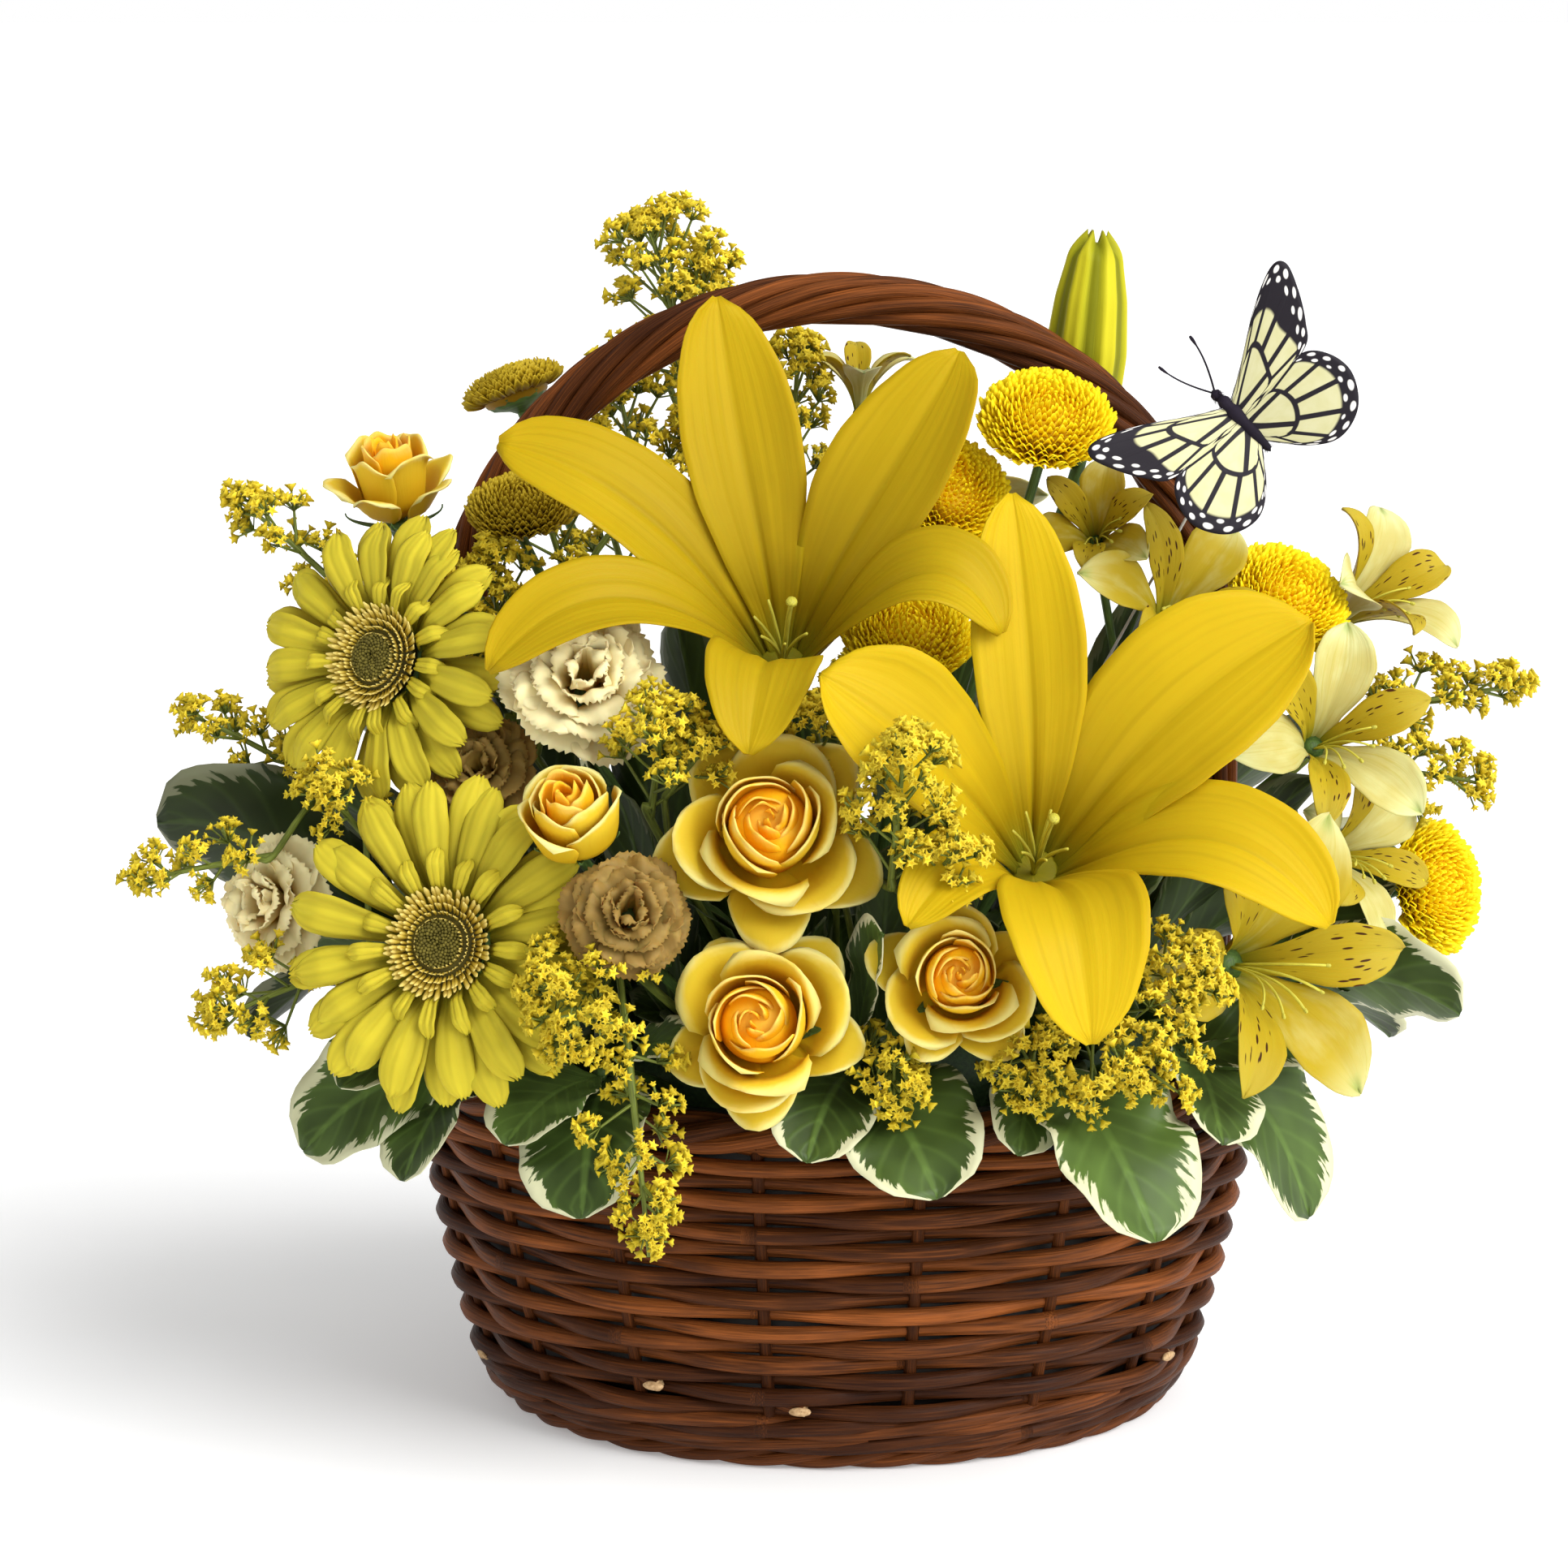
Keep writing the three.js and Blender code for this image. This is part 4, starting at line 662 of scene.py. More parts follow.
class Finish(Shading):
    """A material. What is the same all over its surface is set on the shader's own sockets."""

    def __init__(self, name, **sockets):
        self.material = bpy.data.materials.new(name)
        self.material.use_nodes = True
        super().__init__(self.material.node_tree)
        self.shader = self.tree.nodes["Principled BSDF"]
        for socket, value in sockets.items():
            self.shader.inputs[socket.replace("_", " ")].default_value = value
        marks = self.node("ShaderNodeAttribute", {"attribute_name": "marks"}, {}, 1)
        self.across, self.along, self.tone = (
            self.node("ShaderNodeSeparateXYZ", {}, {0: marks}, k) for k in range(3)
        )

    def aside(self):
        """0 in the middle of a petal and 1 at both of its sides."""
        return (self.across * 2 - 1).size()

    def stretched(self, *factors):
        """The marks across, along and tone, each times a factor."""
        marks = zip((self.across, self.along, self.tone), factors)
        return self.vector(*(0.0 if k == 0 else mark if k == 1 else mark * k for mark, k in marks))

    def grain(self, across, along, tone, scale, detail=2.0):
        """Noise over the stretched marks."""
        return self.noise(self.stretched(across, along, tone), scale, detail)

    def space(self):
        return self.node("ShaderNodeTexCoord", {}, {}, 3)

    def paint(self, colour, roughness, height, strength, distance=0.0004):
        """Feeds the shader, and gives the material."""
        sockets = {"Strength": strength, "Distance": distance, "Height": height}
        bump = self.node("ShaderNodeBump", {}, sockets)
        for socket, wire in (("Base Color", colour), ("Roughness", roughness), ("Normal", bump)):
            if wire is not None:
                self.tree.links.new(wire.socket, self.shader.inputs[socket])
        return self.material


def opaque(shade):
    return (*shade[:3], 1.0)


def shade(colour, k):
    """A colour made lighter or darker."""
    return tuple(min(c * k, 1.0) for c in colour[:3])


finishes = {}


def once(make):
    """Makes each finish once, by its name."""
    def made(name, *values):
        if name not in finishes:
            finishes[name] = make(name, *values)
        return finishes[name]
    return made


def petal_finish(name, glow, depth, gloss=0.08):
    """A finish that lets light through to a depth in metres."""
    return Finish(name, Specular_IOR_Level=gloss, Subsurface_Weight=glow, Subsurface_Scale=depth)


@once
def willow(name, dark, light):
    f = Finish(name, Coat_Weight=0.03, Coat_Roughness=0.3, Specular_IOR_Level=0.1)
    streak = f.grain(9, 2.4, 37, 2.2, 5)
    patch = f.grain(1, 1.3, 53, 1.6)
    bruise = f.grain(2, 9, 11, 1.0, 3)
    value = (streak * 1.1 + patch * 0.5 + f.tone * 0.45 - 0.55).within()
    stops = (0.05, dark), (0.4, shade(light, 0.28)), (0.7, shade(light, 0.78)), (1, shade(light, 1.5))
    colour = f.blend(f.ramp(value, *stops), shade(light, 2.1), bruise.above(0.74, 0.8) * 0.5)
    # Painted shade: the willow is blended halfway to its dark colour at the foot, reaching its full colour 6 cm up.
    painted_foot_shade = f.height(f.space()).above(0.0, 0.06) * 0.5
    colour = f.blend(dark, colour, 0.5 + painted_foot_shade)
    return f.paint(colour, 0.36 + streak * 0.3, streak + bruise * 0.4, 0.7, 0.0007)


@once
def cut_wood(name):
    f = Finish(name, Roughness=0.7)
    grain = f.noise(f.space(), 900, 3)
    return f.paint(f.ramp(grain, (0.3, (0.36, 0.2, 0.08)), (0.7, (0.66, 0.44, 0.22))), None, grain, 0.4)


@once
def leaf(name, green, edge, cream=1.0):
    f = Finish(name, Coat_Weight=0.05, Coat_Roughness=0.3, Specular_IOR_Level=0.2)
    aside = f.aside()
    jag = f.noise(f.vector(aside * 1.5, f.along * 17 - aside * 5, f.tone * 40), 1.7, 4)
    broad = f.grain(2, 3, 17, 1.0)
    veins = ((f.along * 52 - aside * 15).wave() * 0.5 + 0.5) ** 6
    rib = 1 - aside.above(0.02, 0.1)
    tip = f.along.above(0.55, 1)
    margin = (aside + tip * 0.28 + (jag - 0.5) * 0.95 + (broad - 0.5) * 0.2).above(0.94, 1.0)
    stops = (0.25, shade(green, 0.42)), (0.55, green), (0.85, shade(green, 1.7))
    body = f.ramp(broad + (f.tone - 0.5) * 0.3, *stops)
    colour = f.layers(body, (shade(green, 2.4), veins * 0.2 + rib * 0.45), (edge, margin * cream))
    return f.paint(colour, 0.34 + jag * 0.16, broad * 0.6 + veins * 0.25 + rib * 0.6, 0.35, 0.0006)


@once
def stem_green(name, base):
    f = Finish(name, Specular_IOR_Level=0.3)
    mottle = f.grain(3, 6, 9, 2, 3)
    colour = f.ramp(mottle, (0.25, shade(base, 0.5)), (0.75, shade(base, 1.5)))
    return f.paint(colour, 0.42 + mottle * 0.2, mottle, 0.2)


@once
def lily_petal(name, base):
    f = petal_finish(name, 0.12, 0.004)
    streak = f.grain(22, 1.4, 23, 1.0, 3)
    cloud = f.grain(2, 3, 5, 1.2)
    rib = 1 - f.aside().above(0.015, 0.13)
    # The tepal darkens from its tip down to the throat and along its middle channel near the root: the green of the
    # throat is the tepal's own colour, the darker ochre before it is painted shade.
    throat = (0.2, 0.21, 0.012)
    stops = (0, throat), (0.16, shade(base, 0.6)), (0.34, shade(base, 0.86)), (0.7, base), (1, shade(base, 1.08))
    colour = f.layers(
        f.ramp(f.along, *stops),
        (shade(base, 0.6), streak.above(0.45, 0.75) * 0.26 + rib * 0.4 * (1 - f.along)),
        (shade(base, 1.15), cloud.above(0.5, 0.8) * 0.4),
    )
    ridges = (f.across * 75).wave() * 0.5
    return f.paint(colour, 0.42 + cloud * 0.15, streak * 0.7 + ridges * 0.2 - rib * 0.9, 0.4, 0.0006)


@once
def bud_skin(name):
    f = Finish(name, Specular_IOR_Level=0.08)
    streak = f.grain(9, 2, 0, 1.5, 3)
    # Painted shade and light: the bud is darker in the creases between its folds and lighter on their ridges.
    ridge = f.across + (streak - 0.5) * 0.35
    colour = f.ramp(ridge, (0.1, (0.2, 0.2, 0.006)), (0.45, (0.42, 0.4, 0.012)), (0.85, (0.6, 0.54, 0.02)))
    colour = f.blend(colour, (0.2, 0.21, 0.01), f.along.above(0.9, 1) * 0.6)
    return f.paint(colour, 0.4 + streak * 0.15, streak, 0.25)


@once
def gerbera_petal(name, base):
    f = petal_finish(name, 0.08, 0.003)
    lines = (f.across * 30 + f.tone * 9).wave() * 0.5 + 0.5
    cloud = f.grain(3, 2, 31, 1.3, 3)
    stops = (0, (0.2, 0.2, 0.012)), (0.3, shade(base, 0.8)), (0.75, base), (1, shade(base, 1.15))
    colour = f.layers(
        f.ramp(f.along, *stops),
        (shade(base, 0.55), lines * 0.16 + (1 - f.tone) * 0.25),
        (shade(base, 1.4), (1 - f.aside().above(0.1, 0.5)) * 0.3 + cloud.above(0.5, 0.8) * 0.3),
    )
    return f.paint(colour, 0.5 + cloud * 0.1, lines, 0.25)


@once
def floret(name, low, middle, high, roughness=0.55):
    """Small florets: one colour at the root, one in the middle and one at the tip, with a tone of their own."""
    f = Finish(name, Roughness=roughness, Specular_IOR_Level=0.15)
    speck = f.grain(3, 3, 41, 1.5)
    colour = f.ramp(f.along + (speck - 0.5) * 0.25, (0.05, low), (0.5, middle), (0.95, high))
    colour = f.blend(shade(low, 0.8), colour, 0.55 + 0.45 * f.tone)
    return f.paint(colour, None, speck, 0.25, 0.0003)


@once
def rose_petal(name, base):
    f = petal_finish(name, 0.15, 0.004)
    cloud = f.grain(3, 3, 19, 1.3, 3)
    veins = f.grain(30, 2, 7, 1.0)
    rim = (f.along + f.aside() * 0.2 * f.along + (cloud - 0.5) * 0.3).above(0.86, 1.12)
    inner = f.blend(shade(base, 0.9), (0.95, 0.5, 0.01), f.along.above(0.2, 0.9))
    outer = f.blend((0.6, 0.36, 0.008), (0.72, 0.5, 0.03), f.along.above(0.3, 0.95))
    colour = f.layers(
        inner,
        (outer, f.tone.above(0.25, 0.75)),
        ((0.86, 0.75, 0.28), rim * (0.08 + f.tone * 0.9)),
        (shade(base, 0.7), veins.above(0.6, 0.85) * 0.16),
    )
    return f.paint(colour, 0.48 + cloud * 0.12, veins, 0.25)


@once
def alstroemeria_petal(name, spotted, white=0.0):
    f = petal_finish(name, 0.08, 0.003)
    cloud = f.grain(3, 3, 13, 1.3, 3)
    lines = f.grain(26, 1.6, 3, 1.0)
    foot, low, middle, lip = (0.24, 0.26, 0.02), (0.4, 0.3, 0.014), (0.42, 0.3, 0.012), (0.44, 0.34, 0.035)
    colour = f.ramp(f.along, (0, foot), (0.25, low), (0.6, middle), (1, lip))
    if not spotted:
        pale = (cloud.above(0.4, 0.75) * 0.25 + f.along.above(0.7, 1) * 0.6 + white).within()
        colour = f.blend(colour, (0.64, 0.64, 0.3), pale)
    colour = f.blend(colour, (0.42, 0.33, 0.02), lines.above(0.5, 0.75) * 0.4)
    if spotted:
        fleck = f.node("ShaderNodeTexVoronoi", {}, {"Vector": f.stretched(6, 3.4, 9), "Scale": 2.0})
        keep = (1 - fleck.above(0.2, 0.28)) * f.along.above(0.22, 0.32) * (1 - f.along.above(0.74, 0.88))
        colour = f.blend(colour, (0.05, 0.016, 0.003), keep)
    else:
        green = f.along.above(0.86, 0.97) * (1 - f.aside().above(0.2, 0.6))
        colour = f.blend(colour, (0.2, 0.3, 0.05), green * 0.6)
    return f.paint(colour, 0.45 + cloud * 0.1, lines, 0.3)


@once
def carnation_petal(name, base):
    f = petal_finish(name, 0.15, 0.004, gloss=0.2)
    cloud = f.grain(3, 3, 29, 1.4, 3)
    lines = f.grain(24, 2, 3, 1.0)
    # Darker from the lip down to the root deep inside the flower: partly the petal's own brownish middle, partly
    # painted shade.
    stops = (0, (0.2, 0.18, 0.02)), (0.45, (0.6, 0.4, 0.08)), (0.75, shade(base, 0.94)), (1, shade(base, 1.1))
    colour = f.blend(f.ramp(f.along, *stops), (0.6, 0.4, 0.1), cloud.above(0.55, 0.85) * 0.4)
    return f.paint(colour, 0.55 + cloud * 0.1, lines, 0.15, 0.0003)


@once
def wing_print(name):
    """Pale cells between dark veins, in a dark border with two rows of white dots."""
    f = Finish(name, Roughness=0.6, Specular_IOR_Level=0.2)

    def cell_border(cells):
        """1 along the lines between cells that fan out from the root of a wing, and 0 inside them."""
        from_line = 1 - ((f.across * cells).part() - 0.5).size() * 2
        return 1 - (from_line * f.along * (1 / cells)).above(0.017, 0.023)

    inner, outer = cell_border(3), cell_border(8)
    far = f.along.above(0.44, 0.45)
    cross = 1 - (f.along - 0.445 - ((f.across - 0.5) ** 2) * 0.5).size().above(0.018, 0.028)
    vein = inner * (1 - far) + outer * far + cross
    tip = 1 - (f.across - 0.56).size().above(0.08, 0.3)
    fore = 1 - f.tone.above(0.45, 0.55)
    edge = (f.along + tip * fore * 0.16).above(0.83, 0.86)
    edge = edge + (1 - f.across.above(0.02, 0.05)) + f.across.above(0.94, 0.97)
    uneven = f.grain(7, 5, 1, 2.0, 1)

    def dots(middle, size, shift, number=13):
        beside = ((f.across * number + shift).part() - 0.5) * 1.2
        radial = (f.along - middle) * 12
        distance = (beside * beside + radial * radial) ** 0.5 + (uneven - 0.5) * 0.3
        return 1 - distance.above(size, size + 0.1)

    row = dots(0.885, 0.17, 0.0)
    cloud = f.grain(9, 6, 0, 1.2, 3)
    colour = f.layers(
        f.blend((0.56, 0.53, 0.24), (0.68, 0.66, 0.42), cloud),
        ((0.012, 0.009, 0.014), (vein + edge).within()),
        ((0.8, 0.78, 0.74), row.maths("MAXIMUM", row, dots(0.95, 0.25, 0.5))),
    )
    return f.paint(colour, 0.45 + cloud * 0.2, vein, 0.25, 0.0003)


@once
def plain(name, low, high, scale, metallic=0.0):
    """A mottled finish in space, for parts that are seen little."""
    f = Finish(name, Metallic=metallic)
    mottle = f.noise(f.space(), scale, 4)
    return f.paint(f.ramp(mottle, (0.3, low), (0.7, high)), 0.45 + mottle * 0.3, mottle, 0.4, 0.0006)


# ---------------------------------------------------------------- basket
# Rods that end outside the wall: degrees round it, and height.
CUT_ENDS = [(-117, 27), (-95, 22), (-30, 24), (12, 19), (48, 34), (80, 18), (120, 22), (160, 40), (200, 19)]


def oval(half, angle, z):
    """A point of an oval round the basket's axis, by its half-width, angle and height."""
    return np.stack(np.broadcast_arrays(half * np.cos(angle), half * OVAL * np.sin(angle), z), -1)


def on_wall(angle, out, z):
    """A point beside the wall: angle round the basket, out from its half-width, and height."""
    return oval(smooth(WALL, z, 4) + out, angle, z)


def wall_out(angle):
    return unit(np.stack([OVAL * np.cos(angle), np.sin(angle), np.zeros_like(angle)], -1))


def stepped_tones(rng, count, each):
    """A tone that changes where one rod ends and the next begins."""
    return np.repeat(rng.uniform(0, 1, count // each + 1), each)[:count]


def row_height(row):
    """The height of a row of the wall, which may be part of the way to the next."""
    return lerp(ROWS["low"], ROWS["high"], (row + 0.5) / ROWS["count"])


def weave(skin, rng, first, last, radius, swing, depth, strands=1):
    """Rods that run round the wall row after row, out over one stake and in behind the next. They climb a row
    at the seam. More strands than one run out over two stakes and in behind the third."""
    each = 10  # points between two stakes
    rows = last - first
    count = STAKES * each * rows + 1
    for strand in range(strands):
        passed = np.arange(count) / each + STAKES * first  # stakes passed since row 0
        angle = SEAM + passed / STAKES * TURN
        climb = np.clip(passed % STAKES - (STAKES - 1), 0, 1)
        level = row_height(np.floor(passed / STAKES) + climb * climb * (3 - 2 * climb))
        if strands == 1:
            out = swing * np.cos(passed * math.pi)
        else:
            beat = (passed + strand) / strands * TURN
            out = swing * np.clip(np.cos(beat) + 0.5, -1, 1)
            level = level + 1.5 * np.sin(beat)
        z = level + 0.55 * slow_noise(rng, count, rows * 11)
        path = on_wall(angle, out - depth + 0.5 * slow_noise(rng, count, rows * 12), z)
        thick = radius * (1 + 0.13 * slow_noise(rng, count, rows * 6)) * (0.94 + 0.06 * out / swing)
        rod(skin, path, thick, 8, stepped_tones(rng, count, each * 5), 0, wall_out(angle))


def twisted(skin, rng, path, side, up, offset, radius, strands, turns):
    """Rods twisted round a path like the strands of a rope."""
    offset = np.broadcast_to(offset, len(path))
    for k in range(strands):
        a = TURN * (k / strands + shares(len(path)) * turns)
        line = path + side * (offset * np.cos(a))[:, None] + up * (offset * np.sin(a))[:, None]
        rod(skin, line, radius * (1 + 0.05 * slow_noise(rng, len(path), 12)), 8, rng.uniform(0.05, 0.95))


def border(seed, angle, path, *rope):
    """A rope of rods that lies round the basket."""
    skin = Skin()
    twisted(skin, default_rng(seed), path, wall_out(angle), np.broadcast_to(UP, path.shape), *rope)
    return skin


def foot_border():
    """The border that the basket stands on: three rods that roll round each other."""
    angle = np.linspace(0, TURN, 420)
    return border(5, angle, on_wall(angle, 0.4, np.full(len(angle), 3.9)), 1.6, 2.2, 3, 11)


def rim_border():
    """The plaited border round the mouth."""
    angle = np.linspace(0, TURN, 640)
    path = oval(RIM["half_width"], angle, RIM["z"])
    return border(7, angle, path, RIM["offset"], RIM["rod"], RIM["strands"], RIM["turns"])


def basket_wall(settings):
    """The rods of the wall, three rods woven together below them, and the stakes behind."""
    rng, skin = default_rng(3), Skin()
    radius, swing = settings.rod / MM, settings.swing / MM
    weave(skin, rng, 3, ROWS["count"], radius, swing, radius)
    weave(skin, rng, 1, 3, radius * 0.95, 2.0, radius * 0.7, strands=3)
    for k in range(STAKES):
        path = on_wall(np.full(20, SEAM + TURN * k / STAKES), -radius - 0.4, np.linspace(3, 108, 20))
        rod(skin, path, 2.0, 8, rng.uniform(0.1, 0.6))
    return skin


def cut_ends():
    """Butt ends of rods that stick out a little between the lowest rows."""
    rng, skin = default_rng(8), Skin()
    for degrees, z in CUT_ENDS:
        a = math.radians(degrees)
        angle = a + np.linspace(-0.07, 0, 8)
        path = on_wall(angle, np.linspace(-3.2, 1.3, 8), z + np.linspace(1.2, 0, 8))
        tone = rng.uniform(0.3, 0.8)
        rod(skin, path, 2.0, 8, tone, 0, wall_out(angle))
        rod(skin, path[-1] + np.linspace(0, 0.35, 2)[:, None] * unit(path[-1] - path[-2]), 1.9, 8, tone, 1)
        slant, cut = on_wall(a - 0.01, 2.6, z), [(0.1, -2), (3.3, -0.6), (3.4, 0.4), (0.1, 0.7)]
        lathe(skin, cut, slant, facing(wall_out(a)), 16, None, tone, 1, 0.4)
    return skin


def base_weave():
    """The floor of the basket: sticks that cross in the middle, and a rod woven round them."""
    rng, skin = default_rng(6), Skin()
    turns, pitch = 12, 4.7
    count = turns * 96
    passed = np.linspace(0, turns, count)
    angle = passed * TURN
    z = 4.6 + 1.4 * np.cos(angle * FLOOR_SPOKES / 2 + math.pi * np.floor(passed / 2))
    rod(skin, oval(30 + pitch * passed, angle, z), 2.5, 6, stepped_tones(rng, count, 60))
    for k in range(FLOOR_SPOKES // 2):
        stick = oval(np.linspace(-92, 92, 12), k / FLOOR_SPOKES * TURN, 5.2)
        rod(skin, stick, 2.2, 6, rng.uniform(0.1, 0.6))
    turned(skin, [(0.1, 0.4), (24, 0.4), (25, 4), (0.1, 6)], 40, 0.3)
    return skin


def hoop():
    """The handle: rods twisted round a core, whose ends run down inside the wall."""
    skin = Skin()
    a = np.linspace(0, math.pi, 25)
    rise = HANDLE["crown"] - HANDLE["spring"]
    arch = np.stack([HANDLE["half_span"] * np.cos(a), np.zeros(25), HANDLE["spring"] + rise * np.sin(a)], -1)
    right = [(x, 0, z) for x, z in LEGS]
    left = [(-x, 0, z) for x, z in reversed(LEGS)]
    path = through(np.concatenate([right, arch, left]), 520)
    side = np.broadcast_to((0.0, 1.0, 0.0), path.shape)
    up = np.cross(side, unit(np.gradient(path, axis=0)))
    thin = np.interp(path[:, 2], [44, 78, 111], [0.42, 0.6, 1.0])
    rope = HANDLE["offset"] * thin, HANDLE["rod"] * thin, HANDLE["strands"], HANDLE["turns"]
    twisted(skin, default_rng(9), path, side, up, *rope)
    rod(skin, path, 3.6 * thin, 8, 0.3)
    return skin


def turned(skin, profile, sides=96, tone=0.5):
    """A turned part on the basket's own axis, as oval as the basket."""
    lathe(skin, profile, (0, 0, 0), np.eye(3), sides, None, tone, 0, OVAL)
    return skin


# ---------------------------------------------------------------- heads
LILY_TUBE = 34  # from a lily's throat down to the foot of its tube
TEPAL = [
    (0, 0.15), (0.1, 0.3), (0.3, 0.68), (0.5, 0.97), (0.66, 1.02), (0.8, 0.92), (0.91, 0.68), (0.97, 0.42), (1, 0.08),
]
EYE_RINGS = [  # florets, start over the eye's radius, lean, length, tone
    (40, 0.48, 0.4, 3.0, 0.8), (46, 0.57, 0.7, 3.6, 1.0), (52, 0.66, 1.1, 4.2, 0.9), (54, 0.74, 1.8, 4.8, 0.9),
    (50, 0.8, 3.4, 5.6, 0.7),
]
ROSE_STEPS = (0, 0.3, 0.7, 1)  # shares of the way from a rose petal's root to its lip
ROSE_LAYERS = {  # petals, span, radius and height at those steps, twist, taper, roll
    "open": [
        (5, 0.68, ((0.12, 0.55, 0.9, 1.12), (-0.62, -0.5, -0.34, -0.36)), 0.03, 0.42, 0.05),
        (3, 0.98, ((0.1, 0.52, 0.78, 0.94), (-0.58, -0.4, -0.1, -0.02)), 0.06, 0.36, 0.11),
        (2, 1.25, ((0.1, 0.5, 0.6, 0.68), (-0.5, -0.3, 0.08, 0.24)), 0.09, 0.3, 0.13),
        (3, 1.15, ((0.1, 0.43, 0.48, 0.44), (-0.45, -0.24, 0.2, 0.42)), 0.1, 0.14, 0.05),
        (3, 1.2, ((0.08, 0.34, 0.39, 0.32), (-0.4, -0.16, 0.24, 0.44)), 0.13, 0.08, 0.03),
        (3, 1.25, ((0.05, 0.24, 0.28, 0.2), (-0.35, -0.1, 0.24, 0.42)), 0.17, 0.05, 0.02),
        (3, 1.3, ((0.04, 0.14, 0.17, 0.11), (-0.3, -0.05, 0.22, 0.38)), 0.22, 0, 0.01),
        (2, 1.7, ((0.02, 0.05, 0.07, 0.04), (-0.3, -0.05, 0.2, 0.34)), 0.3, 0, 0),
    ],
    "bud": [
        (3, 1.15, ((0.25, 0.84, 0.98, 0.96), (-1.1, -0.7, 0.0, 0.36)), 0.06, 0.16, 0.18),
        (4, 1.1, ((0.2, 0.64, 0.76, 0.66), (-1.0, -0.6, 0.2, 0.56)), 0.1, 0.08, 0.08),
        (4, 1.2, ((0.1, 0.42, 0.52, 0.42), (-0.9, -0.5, 0.2, 0.66)), 0.16, 0.03, 0.04),
        (3, 1.5, ((0.05, 0.22, 0.28, 0.2), (-0.8, -0.4, 0.2, 0.66)), 0.24, 0, 0),
    ],
    "spread": [
        (5, 0.62, ((0.2, 0.62, 1.0, 1.3), (-1.0, -0.75, -0.2, -0.04)), 0.03, 0.34, 0.1),
        (4, 0.95, ((0.15, 0.52, 0.64, 0.7), (-0.9, -0.6, 0.15, 0.48)), 0.06, 0.14, 0.14),
        (4, 1.1, ((0.1, 0.34, 0.44, 0.44), (-0.8, -0.5, 0.2, 0.62)), 0.1, 0.04, 0.06),
        (3, 1.4, ((0.05, 0.18, 0.24, 0.2), (-0.7, -0.4, 0.2, 0.6)), 0.2, 0, 0.02),
    ],
}
ROSE_FEET = {"open": -0.72, "bud": -1.25, "spread": -1.25}  # height of a rose's foot over its radius
HEART = [(0.1, -0.5), (0.38, -0.3), (0.41, 0.04), (0.3, 0.24), (0.1, 0.28)]  # what the inner petals of a rose wrap
CARNATION_WHORLS = [  # petals, reach, height, width
    (7, 1.02, -0.06, 0.54), (6, 0.86, 0.16, 0.52), (5, 0.64, 0.34, 0.48), (4, 0.42, 0.48, 0.4), (3, 0.2, 0.54, 0.34),
]
ALSTROEMERIA_PETALS = [  # reach, rise, half-width and outline of the broad petals, then of the narrow ones
    (37, 2, 10.5, [(0, 0.2), (0.3, 0.42), (0.5, 0.86), (0.68, 1), (0.84, 0.76), (0.94, 0.4), (1, 0.05)]),
    (33, 7, 7.2, [(0, 0.2), (0.3, 0.55), (0.5, 0.96), (0.66, 1), (0.84, 0.68), (0.94, 0.34), (1, 0.05)]),
]


class Head:
    """A flower's head on a skin, with its middle and its three directions."""

    def __init__(self, at, face, skin=None):
        self.at, self.rows, self.skin = point(at), facing(face), skin or Skin()

    def spot(self, r, h, angle):
        """A point by radius, height and angle, which may be arrays of one shape."""
        r, h, angle = np.broadcast_arrays(r, h, angle)
        return self.at + np.stack([r * np.cos(angle), r * np.sin(angle), h], -1) @ self.rows

    def side(self, angle):
        """The direction across a petal that leaves at an angle."""
        return self.rows[1] * math.cos(angle) - self.rows[0] * math.sin(angle)

    def arc(self, count, angle, *places):
        """A path out at an angle, bent by four places given as radius and height."""
        return bezier(*(self.spot(r, h, angle) for r, h in places), count)

    def ways(self, angle, out, rise):
        """Directions at angles that lean out from the way the head faces."""
        return np.stack([np.cos(angle) * out, np.sin(angle) * out, np.broadcast_to(rise, len(angle))], -1) @ self.rows

    def petal(self, spine, side, half, columns, cup, thick, tone, paint=0, lift=None, stretch=None):
        add_sheet(self.skin, sheet(spine, side, half, columns, cup, lift, stretch), thick, tone, paint)

    def turn(self, profile, sides, tone=0.5, paint=1, ribs=None, size=1.0):
        """A turned part, from radii and heights over size."""
        lathe(self.skin, [(r * size, h * size) for r, h in profile], self.at, self.rows, sides, ribs, tone, paint)


def bent_path(root, axis, shoulder, tip, bend, count):
    """The spine of a tepal or leaf, and its side: it leaves along an axis and bends over its shoulder to its tip."""
    root, lean = point(root), unit(axis)
    side = unit(np.cross(lean, point(tip) - root))
    far = turned_about(point(tip), root, side, bend)
    middle = turned_about(point(shoulder), root, side, bend)
    near = root + lean * np.linalg.norm(middle - root) * 0.55
    return bezier(root, near, middle, far, count), side


